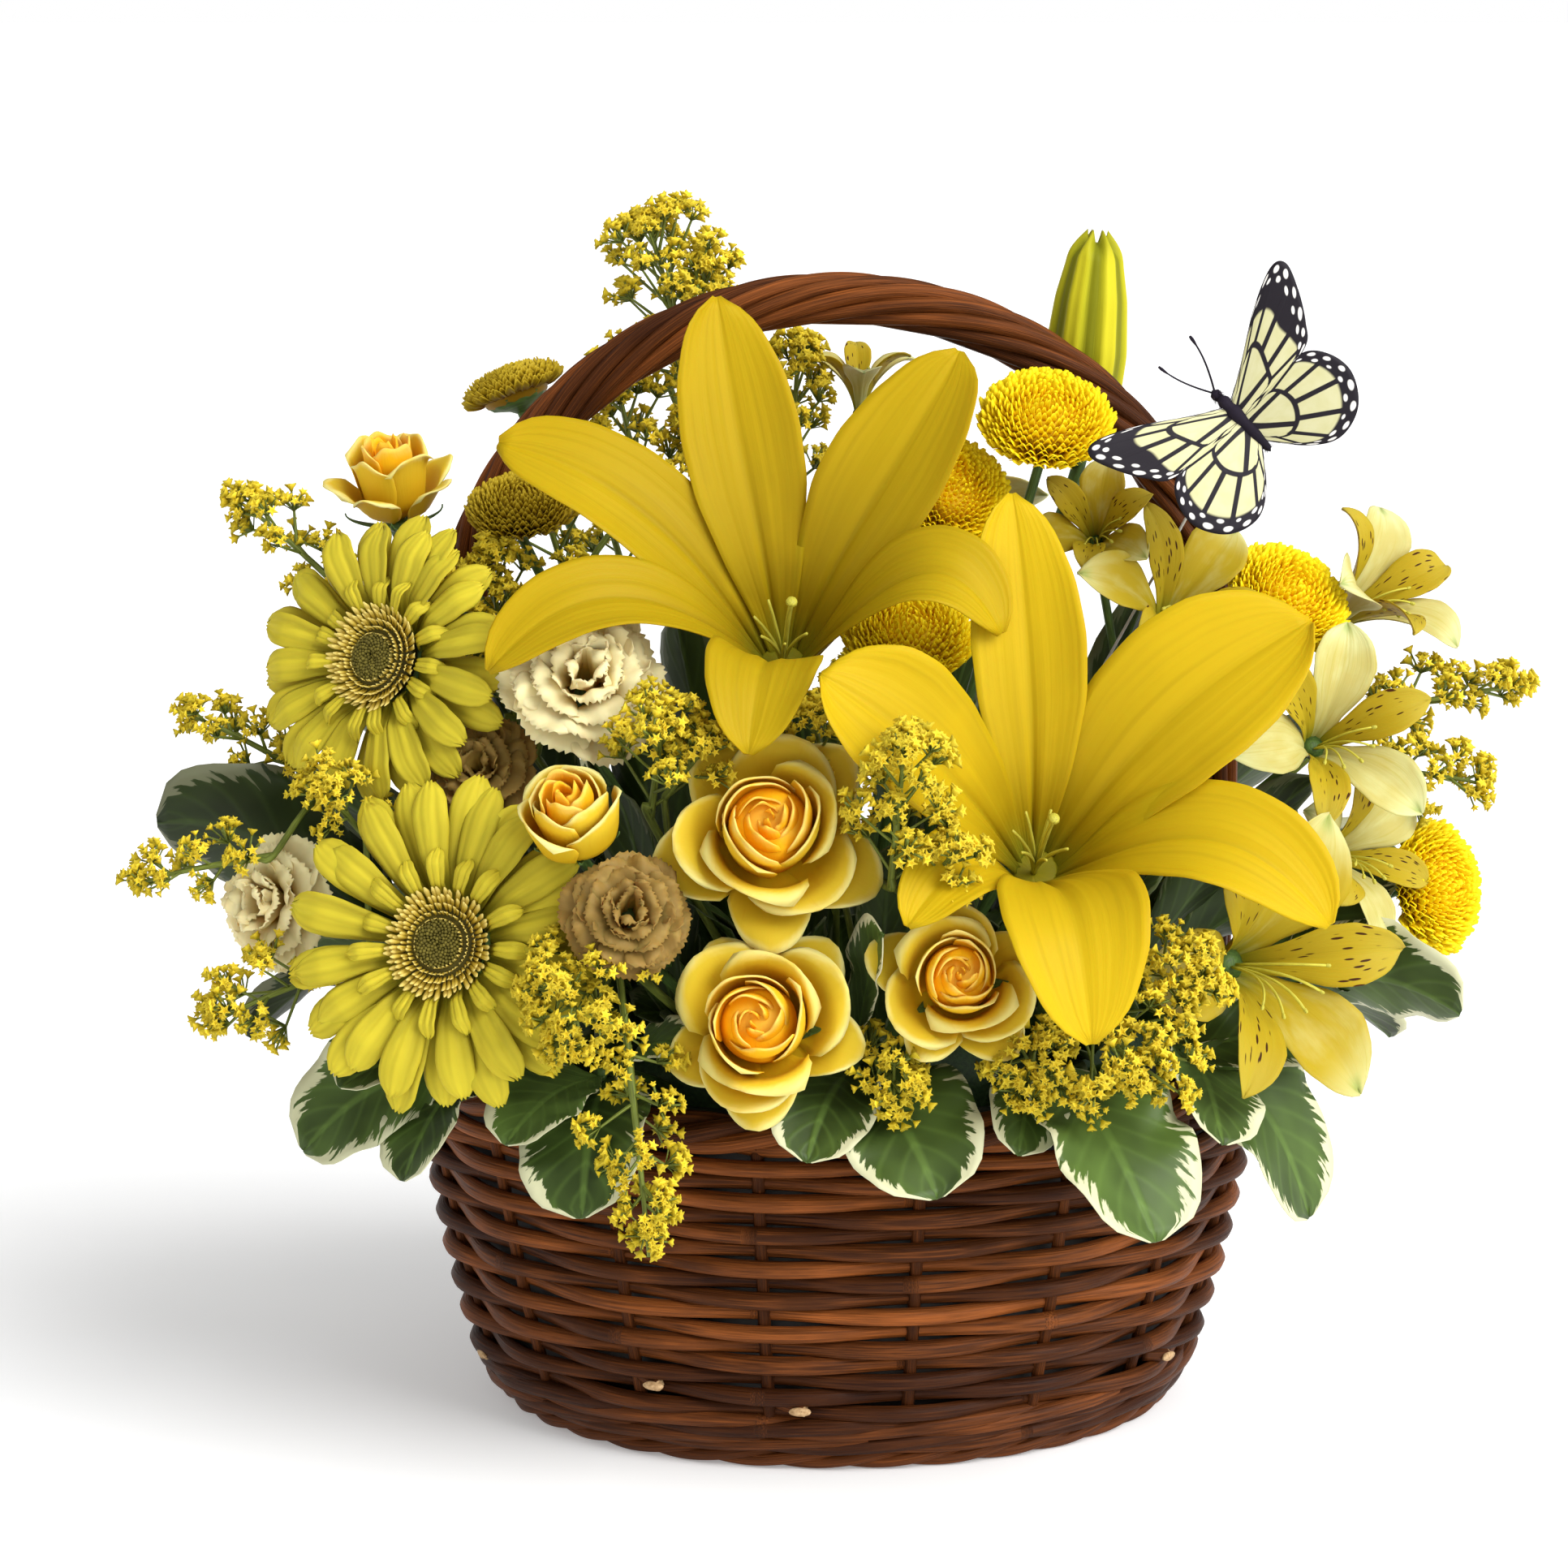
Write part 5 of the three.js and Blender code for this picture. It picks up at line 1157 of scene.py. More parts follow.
def lily(at, face, tepals, seed):
    """A tube with six tepals, of which three stand a little further in, and a pistil among six filaments."""
    axis = facing(face)[2]
    root = point(at) - axis * LILY_TUBE
    rng, head = default_rng(seed), Head(root, face)
    head.turn([(2.6, -1), (3.4, 2), (5.4, 9), (7.4, 14), (6.2, 15), (0.5, 12)], 24, 0.5, 0)
    head.skin.marks[-1][:, 1] = 0.06
    for i, (tip, shoulder, half) in enumerate(tepals):
        out = point(tip) - root
        out = unit(out - axis * (out @ axis))
        inner = i in (0, 3, 4)
        foot = root + axis * (12 if inner else 10) + out * (4.4 if inner else 5.2)
        spine, side = bent_path(foot, axis + out * 0.5, point(shoulder) + axis * (2 if inner else 0), tip, 0, 34)
        phase = rng.uniform(0, 6)

        def lift(s, t):
            channel = -1.5 * np.exp(-(t / 0.13) ** 2) * (1 - s) ** 0.5
            ridges = 0.7 * np.exp(-((np.abs(t) - 0.22) / 0.1) ** 2) * (1 - s)
            ruffle = 0.11 * half * np.sin(11 * s + phase + 1.6 * np.sign(t)) * np.abs(t) ** 3 * s
            return channel + ridges + ruffle

        head.petal(spine, side, half * smooth(TEPAL, shares(34)), 17, 0.27, 1.0, rng.uniform(0.1, 0.9), 0, lift)
    foot = root + axis * 11
    for k in range(7):  # a pistil, which is longer and upright, and six filaments
        a = k / 7 * TURN + 0.3
        out = head.rows[0] * math.cos(a) + head.rows[1] * math.sin(a)
        reach, spread = (26, 0.34) if k else (33, 0.08)
        path = bezier(foot, foot + axis * reach * 0.5 + out * 1, foot + axis * reach * 0.8 + out * reach * spread * 0.6,
                      foot + axis * reach + out * reach * spread, 12)
        rod(head.skin, path, np.linspace(0.8, 0.45 if k else 0.8, 12), 6, 0.5, 2)
        if k == 0:
            knob = [(0.9, 0), (1.9, 1), (1.6, 2), (0.1, 2.3)]
            lathe(head.skin, knob, path[-1], facing(path[-1] - path[-2]), 9, None, 0.5, 2)
    return head.skin


def lily_bud():
    """A closed bud with six folds, whose tips stand apart at its end."""
    skin = Skin()
    foot, tip, radius = point(LILY_BUD["foot"]), point(LILY_BUD["tip"]), LILY_BUD["radius"]
    axis = tip - foot
    sides = 72
    s = np.concatenate([np.linspace(0, 0.9, 30), np.linspace(0.92, 1, 8)])[:, None]
    profile = [(0, 0.2), (0.12, 0.6), (0.3, 0.94), (0.5, 1), (0.75, 0.88), (0.95, 0.66), (1, 0.25)]
    a = np.arange(sides) / sides * TURN
    fold = 0.5 + 0.5 * np.cos(6 * a)
    ribs = 1 - 0.11 * (1 - fold) ** 1.5 - 0.03 * np.cos(18 * a)
    r = radius * smooth(profile, s) * ribs
    height = s * np.linalg.norm(axis) + 4.5 * np.clip((s - 0.9) * 10, 0, 1) * fold ** 2
    marks = np.zeros((len(s), sides, 3))
    marks[..., 0], marks[..., 1] = fold, s
    skin.add(foot + np.stack([r * np.cos(a), r * np.sin(a), height], -1) @ facing(axis), marks)
    return skin


def gerbera(at, face, radius, seed):
    """Two layers of long rays, one of short rays over them, and the cup that holds them."""
    rng, head = default_rng(seed), Head(at, face)
    s = shares(15)
    outline = [(0, 0.36), (0.3, 0.68), (0.62, 1), (0.84, 0.95), (0.95, 0.66), (1, 0.3)]
    layers = [(17, 1.0, -0.05, 0.124), (16, 0.95, 0.03, 0.116), (15, 0.56, 0.06, 0.055)]
    for number, (rays, reach, height, width) in enumerate(layers):
        for k in range(rays):
            a = (k + 0.5 * (number % 2) + rng.uniform(-0.16, 0.16)) / rays * TURN
            long = radius * reach * rng.uniform(0.93, 1.03)
            sway = rng.uniform(-0.045, 0.045) * radius
            h = radius * smooth([(0, -0.14), (0.35, height), (0.75, height + 0.035), (1, height - 0.05)], s) + sway * s
            spine = head.spot(lerp(0.24 * radius, long, s), h, a)
            side = head.side(a) + head.rows[2] * rng.uniform(-0.3, 0.3)
            head.petal(
                spine, side, radius * width * smooth(outline, s), 11, rng.uniform(-0.25, 0.2), 0.7, rng.uniform(0, 1),
                lift=lambda s, t: 0.35 * np.cos(2.5 * math.pi * t) * np.sin(math.pi * s),
                stretch=lambda s, t: -0.7 * s ** 8 * np.cos(3 * math.pi * t) * (np.abs(t) < 0.9),
            )
    cup = [(3 / radius, -0.3), (7 / radius, -0.27), (0.27, -0.16), (0.27, -0.1), (0.2 / radius, -0.08)]
    head.turn(cup, 30, size=radius)
    return head.skin


def petal_template(half, curl, cup, rows=5, columns=4, profile=None):
    """A small petal along the second direction, for scattering."""
    s = shares(rows)
    spine = np.stack([np.zeros(rows), s, curl * s * s], -1)
    width = half * smooth(profile or [(0, 0.5), (0.3, 0.8), (0.7, 1), (0.9, 0.8), (1, 0.25)], s, 6)
    return shell(sheet(spine, point(1, 0, 0), width, columns, cup), 0.05)


def bud_template(sides=5):
    """A small pointed bud along the second direction."""
    profile = [(0.12, 0), (0.36, 0.25), (0.42, 0.6), (0.3, 0.88), (0.06, 1.05)]
    a = np.arange(sides) / sides * TURN
    rings = np.array([np.stack([r * np.cos(a), np.full(sides, float(h)), -r * np.sin(a)], -1) for r, h in profile])
    marks = np.zeros(rings.shape)
    marks[..., 0] = 0.5 + 0.5 * np.cos(a)
    marks[..., 1] = shares(len(profile))[:, None]
    return rings, marks


def gerbera_eye(at, face, seed):
    """The eye: a dome of dark buds, a ring of gold-tipped ones and a collar of short florets."""
    rng, head = default_rng(seed), Head(at, face)
    size = GERBERA_EYE
    head.turn([(size * 0.9, -2), (size * 0.86, 1), (size * 0.5, 2.2), (0.2, 2.0)], 36, 0.2, 0)
    count = 170
    i = np.arange(count)
    share = np.sqrt((i + 0.5) / count)
    r, a = size * 0.48 * share, i * GOLDEN_ANGLE
    h = 1.4 + 1.4 * np.sin(np.clip(share, 0, 1) * math.pi * 0.8)
    ahead = head.ways(a, r / size * 0.5, 1)
    frames = directions(ahead, np.broadcast_to(head.rows[0] + 0.3, ahead.shape))
    sizes = rng.uniform(1.3, 1.9, count)
    scatter(head.skin, bud_template(), head.spot(r, h, a), frames, sizes, rng.uniform(0, 1, count))
    petal = petal_template(0.14, 0.35, 0.6)
    for number, start, lean, long, tone in EYE_RINGS:
        a = (np.arange(number) + rng.uniform(-0.3, 0.3, number)) / number * TURN
        ahead = head.ways(a, lean, 1)
        frames = directions(ahead, np.broadcast_to(head.rows[2], ahead.shape))
        tones = tone + rng.uniform(-0.25, 0.1, number)
        sizes = long * rng.uniform(0.8, 1.15, number)
        scatter(head.skin, petal, head.spot(size * start, 1.2, a), frames, sizes, tones, 1, True)
    return head.skin


def mum(at, face, radius, seed):
    """A button mum: florets all over a low dome, short in the middle and longer at the edge."""
    rng, head = default_rng(seed), Head(at, face)
    count = 480
    i = np.arange(count) + 0.5
    edge = i / count
    cosine = 1 - edge * 1.22
    sine = np.sqrt(1 - cosine ** 2)
    a = i * GOLDEN_ANGLE
    core = 0.7 * radius
    origins = head.spot(core * sine, core * (0.5 * cosine - 0.08), a)
    ahead = np.stack([sine * np.cos(a), sine * np.sin(a), 0.8 * cosine + 0.25], -1)
    ahead = (ahead + rng.uniform(-0.12, 0.12, (count, 3))) @ head.rows
    frames = directions(ahead, np.broadcast_to(head.rows[2], (count, 3)) + 0.02)
    long = radius * (0.17 + 0.2 * edge) * rng.uniform(0.85, 1.15, count)
    petal = petal_template(0.24, 0.3, 0.7, profile=[(0, 0.45), (0.4, 0.85), (0.75, 1), (0.92, 0.8), (1, 0.3)])
    tones = np.clip(1 - 0.25 * edge + rng.uniform(-0.25, 0.1, count), 0, 1)
    scatter(head.skin, petal, origins, frames, long, tones, 0, True)
    dome = [(0.3, -0.38), (0.62, -0.24), (0.7, -0.05), (0.5, 0.16), (0.2 / radius, 0.26)]
    head.turn(dome, 30, 0.1, 0, size=radius)
    cup = [(1.8 / radius, -0.5), (0.22, -0.42), (0.5, -0.33), (0.62, -0.2), (0.4 / radius, -0.18)]
    head.turn(cup, 30, ribs=lambda a: 1 + 0.06 * np.cos(12 * a), size=radius)
    return head.skin


def wrapped_petal(head, angle, span, curves, radius, twist, taper, roll):
    """A rose petal that wraps round the axis. Its curves give radius and height from root to lip as shares, and
    taper says how far the lip falls back from its middle point towards the sides."""
    s = shares(14)[:, None]
    t = np.linspace(-1, 1, 15)[None, :]
    peak = 0.5 * np.exp(-(t / 0.2) ** 2) * s ** 4
    reach = np.clip(s * (1 - taper * (np.abs(t) ** 1.7 - peak * 0.2)), 0, 1)
    r, h = (smooth(list(zip(ROSE_STEPS, curve)), reach, 8) for curve in curves)
    width = np.interp(s, [0, 0.25, 0.6, 0.85, 1], [0.4, 0.82, 1, 0.92, 0.66])
    lip = roll * np.clip(s - 0.66, 0, 1) ** 2 * 8 * (0.25 + 0.75 * np.abs(t) ** 1.5)
    wave = 0.035 * np.sin(5 * t + angle * 3) * s ** 3 + 0.6 * twist * t * s
    r = r * radius * (1 + twist * t) + lip * radius
    h = (h + wave) * radius - 0.75 * lip * radius
    return head.spot(r, h, angle + t * span * width)


def rose(at, face, radius, kind, seed):
    """Layers of petals round a heart, from the outermost inwards, over a hip with five sepals."""
    rng, head = default_rng(seed), Head(at, face)
    layers, foot = ROSE_LAYERS[kind], ROSE_FEET[kind]
    for number, (petals, span, curves, twist, taper, roll) in enumerate(layers):
        start = rng.uniform(0, 6)
        outer = 1 - number / (len(layers) - 1)
        for k in range(petals):
            angle = start + (k + rng.uniform(-0.12, 0.12)) / petals * TURN
            scale, wide = radius * rng.uniform(0.93, 1.04), span * rng.uniform(0.92, 1.08)
            lip = roll * rng.uniform(0.5, 1.6)
            surface = wrapped_petal(head, angle, wide, curves, scale, twist, taper, lip)
            surface = surface + head.rows[2] * rng.uniform(-0.03, 0.03) * radius
            add_sheet(head.skin, surface, 0.6, np.clip(outer + rng.uniform(-0.06, 0.06), 0, 1))
    head.turn(HEART, 40, size=radius, tone=0.1, paint=0)
    hip = [(2.2 / radius, foot - 1 / radius), (0.17, foot + 0.05), (0.3, foot + 0.2), (0.12, foot + 0.3)]
    head.turn(hip, 24, size=radius)
    s = shares(9)
    for k in range(5):
        a = k / 5 * TURN
        out = 0.3 + 0.35 * s if kind == "open" else 0.2 + 0.75 * np.sin(s * 1.6)
        high = foot + 0.12 + (0.3 if kind == "open" else 0.5) * s
        spine = head.spot(out * radius, high * radius, a)
        head.petal(spine, head.side(a), radius * 0.13 * (1 - s * 0.96), 5, 0.3, 0.5, 0.5, 1)
    return head.skin


def carnation(at, face, radius, seed):
    """Ruffled fans in five whorls, each on a narrow claw out of the calyx."""
    rng, head = default_rng(seed), Head(at, face)
    outline = smooth([(0, 0.1), (0.4, 0.22), (0.7, 0.8), (0.9, 1), (1, 0.92)], shares(15))
    for petals, reach, height, width in CARNATION_WHORLS:
        start = rng.uniform(0, 6)
        for k in range(petals):
            a = start + (k + rng.uniform(-0.25, 0.25)) / petals * TURN
            long = reach * rng.uniform(0.9, 1.05) * radius
            high = (height + rng.uniform(-0.07, 0.07)) * radius
            spine = head.arc(15, a, (0.1 * radius, -0.8 * radius), (0.16 * radius, -0.1 * radius),
                             (0.5 * long, high + 0.12 * radius), (long, high))
            phase, folds = rng.uniform(0, 6, 2), rng.uniform(0.9, 1.7)

            def lift(s, t):
                waves = np.sin(folds * math.pi * t + phase[0]) + 0.4 * np.sin(9 * t + phase[1])
                return radius * 0.075 * s ** 3 * waves

            def stretch(s, t):
                teeth = np.abs(((t * 5.5) % 1) - 0.5) * 2
                return radius * (s ** 12 * 0.07 * teeth - 0.2 * s ** 3 * t * t)

            half = radius * width * outline
            head.petal(spine, head.side(a), half, 29, 0.1, 0.4, rng.uniform(0, 1), 0, lift, stretch)
    calyx = [(1.8 / radius, -1.06), (0.2, -1.0), (0.24, -0.6), (0.27, -0.3), (0.1, -0.28)]
    head.turn(calyx, 24, size=radius)
    return head.skin


def alstroemeria(skin, at, face, size, spin, closed, rng):
    """Three broad outer petals, three narrow flecked ones between them, and bowed stamens. Returns the flower's
    foot and the way it faces."""
    head = Head(at, face, skin)
    opened = 1 - closed * 0.55
    for k in range(6):
        a = (k * 60 + 30 + spin + rng.uniform(-4, 4)) / 180 * math.pi
        reach, rise, width, outline = ALSTROEMERIA_PETALS[k % 2]
        long, high = reach * size * opened, (rise + closed * 22) * size
        throat, bend = (2.5 * size, -18 * size), (7 * size * opened, (-2 + closed * 6) * size)
        spine = head.arc(22, a, throat, bend, (0.62 * long, high + 3 * size), (long, high + rng.uniform(-2, 1) * size))
        phase = rng.uniform(0, 6)

        def lift(s, t):
            return size * (0.9 * s * np.sin(9 * s + phase + 1.5 * np.sign(t)) * t * t - 0.5 * np.exp(-(t / 0.15) ** 2))

        half = width * size * smooth(outline, shares(22))
        head.petal(spine, head.side(a), half, 13, 0.28, 0.55, rng.uniform(0, 1), k % 2, lift)
    for k in range(5):
        a = (k * 30 + 200 + spin) / 180 * math.pi
        path = head.arc(10, a, (1, -14 * size), (3 * size, -2 * size), (6 * size, 3 * size), (12 * size, 5 * size))
        rod(skin, path, 0.35 * size, 5, 0.5, 2)
        anther = [(0.2, -1), (0.6, -0.4), (0.6, 0.6), (0.2, 1)]
        lathe(skin, anther, path[-1], facing(path[-1] - path[-2]), 7, None, 0.3, 2)
    head.turn([(1.6, -21), (2.6, -19), (3.6, -15), (1, -14)], 16, paint=3, size=size)
    return head.at - head.rows[2] * 20 * size, face


# ---------------------------------------------------------------- foliage
LEAF = [
    (0, 0.07), (0.1, 0.2), (0.28, 0.72), (0.46, 1), (0.66, 1.04), (0.82, 0.94), (0.93, 0.74), (0.98, 0.5), (1, 0.12),
]
FILLER_REACH = 122  # how far from the axis the tips of the small fillers may lie
SIDE_FILLERS = [  # larger leaves that fill the spaces between the heads at both sides: root and tip
    ((-86, -46, 132), (-166, -56, 212)), ((-80, -26, 134), (-146, -34, 236)), ((-90, -52, 130), (-172, -52, 152)),
    ((-70, -10, 136), (-118, -12, 262)), ((86, -40, 132), (148, -46, 208)), ((90, -30, 130), (160, -26, 176)),
    ((78, -16, 134), (136, -10, 240)), ((60, -10, 136), (98, -8, 262)), ((-78, 30, 134), (-160, 30, 220)),
    ((80, 30, 134), (160, 34, 214)), ((84, 40, 126), (134, 62, 142)), ((86, 14, 128), (148, 24, 154)),
    ((-84, 40, 126), (-134, 62, 142)), ((-86, 14, 128), (-148, 24, 154)), ((64, 58, 128), (100, 98, 150)),
    ((-64, 58, 128), (-100, 98, 150)), ((2, 80, 130), (4, 124, 138)), ((-30, 74, 132), (-34, 112, 160)),
    ((36, 74, 132), (40, 110, 158)), ((-30, -34, 134), (-50, -36, 258)), ((-46, -46, 134), (-68, -50, 240)),
]


def star_template():
    """A small flower with five points, open along the second direction."""
    a = np.arange(10) / 10 * TURN
    star = np.where(np.arange(10) % 2, 0.38, 1.0)
    rings = []
    for r, h, points in ((0.07, 0, 0), (0.2, 0.25, 0.3), (0.5, 0.5, 1), (0.44, 0.58, 1), (0.1, 0.42, 0)):
        reach = r * lerp(1, star, points)
        rings.append(np.stack([reach * np.cos(a), h + 0.14 * reach * points, -reach * np.sin(a)], -1))
    marks = np.zeros((5, 10, 3))
    marks[..., 0] = 0.5 + 0.5 * np.cos(a)
    marks[..., 1] = np.array([0, 0.4, 0.9, 1, 0.55])[:, None]
    return np.array(rings), marks


def stalk_template():
    """A thin stalk along the second direction, one long."""
    rings = [[(0.05 * math.cos(a), h, -0.05 * math.sin(a)) for a in (0, 2.1, 4.2)] for h in (0.0, 1.0)]
    return np.array(rings), None


def plume(skin, foot, tip, spread, florets, rng):
    """A plume of goldenrod: twigs all round a bowed spine, and at the end of each a tuft of small flowers. Returns
    its foot and the way it grows."""
    foot, tip = point(foot), point(tip)
    length = np.linalg.norm(tip - foot)
    axis = (tip - foot) / length
    right, forward, _ = facing(axis)
    spine = bezier(foot - axis * 4, lerp(foot, tip, 0.35) + UP * 0.03 * length,
                   lerp(foot, tip, 0.7) + UP * 0.05 * length, tip, 24)
    rod(skin, spine, np.linspace(1.3, 0.5, 24), 6, 0.5, 1)
    tufts = max(9, int(length * spread / 44))
    origins, ways, sizes = [], [], []
    for b in range(tufts):
        t = (b + 0.6) / tufts
        a = b * GOLDEN_ANGLE
        reach = spread * smooth([(0, 0.85), (0.35, 1.1), (0.75, 0.8), (1, 0.2)], t) * rng.uniform(0.5, 1.1)
        start = spine[min(int(1 + t * 21), 23)]
        way = unit(right * math.cos(a) + forward * math.sin(a) + axis * lerp(0.5, 1.3, t) + UP * 0.25)
        end = start + way * reach + axis * reach * 0.06
        path = bezier(start, start + way * reach * 0.4, start + way * reach * 0.75 + axis * reach * 0.06, end, 7)
        rod(skin, path, np.linspace(0.6, 0.4, 7), 4, 0.5, 1)
        fan = unit(rng.normal(size=(florets, 3))) * 0.9 + unit(way + UP * 0.7)
        origins.append(np.broadcast_to(path[-1] - way * 1.5, (florets, 3)))
        ways.append(unit(fan))
        sizes.append(rng.uniform(2.4, 8.0, florets) * lerp(1.1, 0.85, t))
    origins, ways, sizes = np.concatenate(origins), np.concatenate(ways), np.concatenate(sizes)
    frames = directions(ways, unit(rng.normal(size=ways.shape)))
    scatter(skin, stalk_template(), origins, frames, sizes, 0.7, 1)
    star_sizes, tones = rng.uniform(2.4, 4.6, len(ways)), rng.uniform(0, 1, len(ways))
    scatter(skin, star_template(), origins + ways * (sizes - 1)[:, None], frames, star_sizes, tones)
    return foot, axis


def leaf_blade(skin, root, axis, shoulder, tip, half, rng, rows, columns, bend=0, roll=0):
    """A leaf with a wavy edge and a channel along its middle. bend and roll turn it, in degrees."""
    spine, side = bent_path(root, axis, shoulder, tip, bend, rows)
    side = turned_about(side, np.zeros(3), unit(tip - root), roll)
    phase, beats = rng.uniform(0, 6, 2), rng.uniform(14, 21)

    def lift(s, t):
        waves = np.sin(beats * s + phase[0] + np.sign(t) * 1.4) + 0.5 * np.sin(31 * s + phase[1] * t)
        return half * (0.1 * waves * t * t * np.sin(math.pi * np.clip(s * 1.05, 0, 1))) - 0.5 * np.exp(-(t / 0.1) ** 2)

    surface = sheet(spine, side, half * smooth(LEAF, shares(rows)), columns, 0.2, lift)
    add_sheet(skin, surface, 0.55, rng.uniform(0, 1))


def sprig(crown, leaves, seed):
    """A stem with leaves that part from it one after another below its crown."""
    rng, skin = default_rng(seed), Skin()
    crown = point(crown)
    stem(skin, None, crown, None, 2.0, 1)
    out = unit((crown - FOCUS) * (1, 1, 0))
    for i, (tip, half, bend, *roll) in enumerate(leaves):
        tip = point(tip)
        span = tip - crown
        shoulder = lerp(crown, tip, 0.62) + UP * max(4, np.linalg.norm(span) * 0.22)
        foot = lerp(crown, FOCUS, 0.02 + i * 0.026)
        axis = out * 0.5 + unit(span) + UP * 0.5
        leaf_blade(skin, foot, axis, shoulder, tip, half * 1.2, rng, 26, 13, bend, sum(roll))
    return skin


def fillers(count):
    """Leaves tucked in between the stems so that no foam shows: broad ones all over it, and tall narrow ones in
    the middle."""
    rng, skin = default_rng(40), Skin()
    for k in range(count):
        a = k * GOLDEN_ANGLE + rng.uniform(-0.2, 0.2)
        share = math.sqrt((k + 0.5) / count)
        root = point(96 * share * math.cos(a), 96 * share * OVAL * math.sin(a), lerp(140, 118, share ** 2) - 4)
        out = unit(point(math.cos(a), math.sin(a) * OVAL, 0) * (0.35 + share * 0.9) + UP * (1.15 - 0.85 * share))
        tall = k % 3 == 0 and share < 0.85
        reach = rng.uniform(80, 108) if tall else rng.uniform(38, 64)
        way = unit(out * (0.45, 0.45, 1.2)) if tall else out
        tip = root + (way + unit(rng.normal(size=3)) * (0.12 if tall else 0.3)) * reach
        limit = FILLER_REACH / max(oval_radius(tip), FILLER_REACH)
        tip = tip * (limit, limit, 1)
        shoulder = lerp(root, tip, 0.6) + UP * reach * 0.16
        half = rng.uniform(7, 10) if tall else rng.uniform(9, 14)
        leaf_blade(skin, root, out + UP * 0.4, shoulder, tip, half, rng, 16, 9)
    for root, tip in SIDE_FILLERS:
        root, tip = point(root), point(tip)
        shoulder = lerp(root, tip, 0.6) + UP * 12
        roll = math.copysign(45, -tip[0])
        leaf_blade(skin, root, unit(tip - root) + UP * 0.4, shoulder, tip, rng.uniform(12, 15), rng, 20, 11, roll=roll)
    return skin


# ---------------------------------------------------------------- butterfly
def butterfly_frame():
    ahead = unit(BUTTERFLY["ahead"])
    up = point(BUTTERFLY["up"])
    up = unit(up - ahead * (ahead @ up))
    return point(BUTTERFLY["at"]), ahead, up, np.cross(ahead, up)


def wing(skin, outline, mirror, root, tone):
    """A wing as rays from its root to its outline, so that its marks are the share round it and the share out."""
    at, ahead, up, right = butterfly_frame()
    lift = math.radians(BUTTERFLY["dihedral"])
    outward = right * mirror * math.cos(lift) + up * math.sin(lift)
    rim = through(np.array([(x, y, 0) for x, y in outline], float), 90)[:, :2]
    rows = []
    for s in shares(22):
        flat = lerp(np.array(root, float), rim, 0.04 + 0.96 * s)
        bow = 0.9 * np.sin(math.pi * s) * np.sin(np.linspace(0, math.pi, len(rim)))
        rows.append(at + outward * flat[:, :1] + ahead * flat[:, 1:] + up * (0.35 + bow)[:, None])
    add_sheet(skin, np.array(rows), 0.45, tone)


def butterfly_body():
    """A waisted body under the wings and a narrower ridge on it, with short hairs and two feelers."""
    rng, skin = default_rng(2), Skin()
    at, ahead, up, right = butterfly_frame()
    length, radius = BUTTERFLY["length"], BUTTERFLY["radius"]
    low = at - up * (radius + 0.75)
    places = np.array([-0.55, -0.5, -0.38, -0.2, -0.06, 0.0, 0.1, 0.2, 0.27, 0.31, 0.36, 0.41, 0.45])
    girths = radius * np.array([0.05, 0.45, 0.72, 0.85, 0.7, 0.8, 1.05, 1.0, 0.7, 0.55, 0.8, 0.75, 0.1])
    path = low + ahead * (places * length)[:, None]
    rod(skin, through(path, 50), np.interp(np.linspace(0, 12, 50), np.arange(13), girths), 12)
    ridge = low + up * (radius + 1) + ahead * (np.linspace(-0.5, 0.34, 30) * length)[:, None]
    outline = [(0, 0.4), (0.3, 0.9), (0.5, 0.8), (0.72, 1.2), (0.84, 0.8), (0.93, 1), (1, 0.5)]
    rod(skin, ridge, radius * smooth(outline, shares(30)), 12)
    count = 420
    u = rng.uniform(-0.5, 0.42, count)
    a = rng.uniform(0, TURN, count)
    out = right * np.cos(a)[:, None] + up * np.sin(a)[:, None]
    origins = low + ahead * (u * length)[:, None] + out * (np.interp(u, places, girths) * 0.85)[:, None]
    hair = petal_template(0.12, 0.1, 0, 3, 3)
    frames = directions(out - ahead * 0.8, ahead + 0.1)
    scatter(skin, hair, origins, frames, rng.uniform(0.9, 1.5, count), rng.uniform(0, 1, count), 0, True)
    head = low + ahead * 0.4 * length
    for m in (1, -1):
        feeler = (head + ahead * far + right * m * wide for far, wide in ((0, 0), (7, 4), (12, 6), (18, 6.6)))
        path = bezier(*feeler, 16)
        rod(skin, path, np.interp(shares(16), [0, 0.8, 0.92, 1], [0.34, 0.28, 0.6, 0.4]), 6)
    return skin


# ---------------------------------------------------------------- operators
def green():
    """The finish of all stems."""
    return stem_green("stem", (0.075, 0.14, 0.03))


def filament():
    """The finish of pistils and stamens."""
    return stem_green("lily filament", (0.5, 0.46, 0.05))


def round_heads(heads, seed, shape, depth, thick, ending, slot, petals, others=(), other=None):
    """Places heads, each with its stem, which starts as far behind the middle as depth says. The others take another,
    darker finish of painted shade."""
    for i, (name, (at, face, radius, *kind)) in enumerate(heads.items()):
        skin = shape(at, face, radius, *kind, seed + i)
        stem(skin, name, point(at) - unit(face) * depth(radius, *kind), face, thick, 1)
        place(skin, name + ending, slot, [other if name in others else petals, green()], name)


def spray(name, seed, grow, parts, radii, paint):
    """A skin with a stem to the first of its parts, and with a shoot off that stem to each of the others."""
    rng, skin = default_rng(seed), Skin()
    path = None
    for part in parts:
        foot, way = grow(skin, *part, rng)
        if path is None:
            path = stem(skin, name, foot, way, radii[0], paint)
        else:
            shoot(skin, name, path, foot, way, radii[1], paint)
    return skin


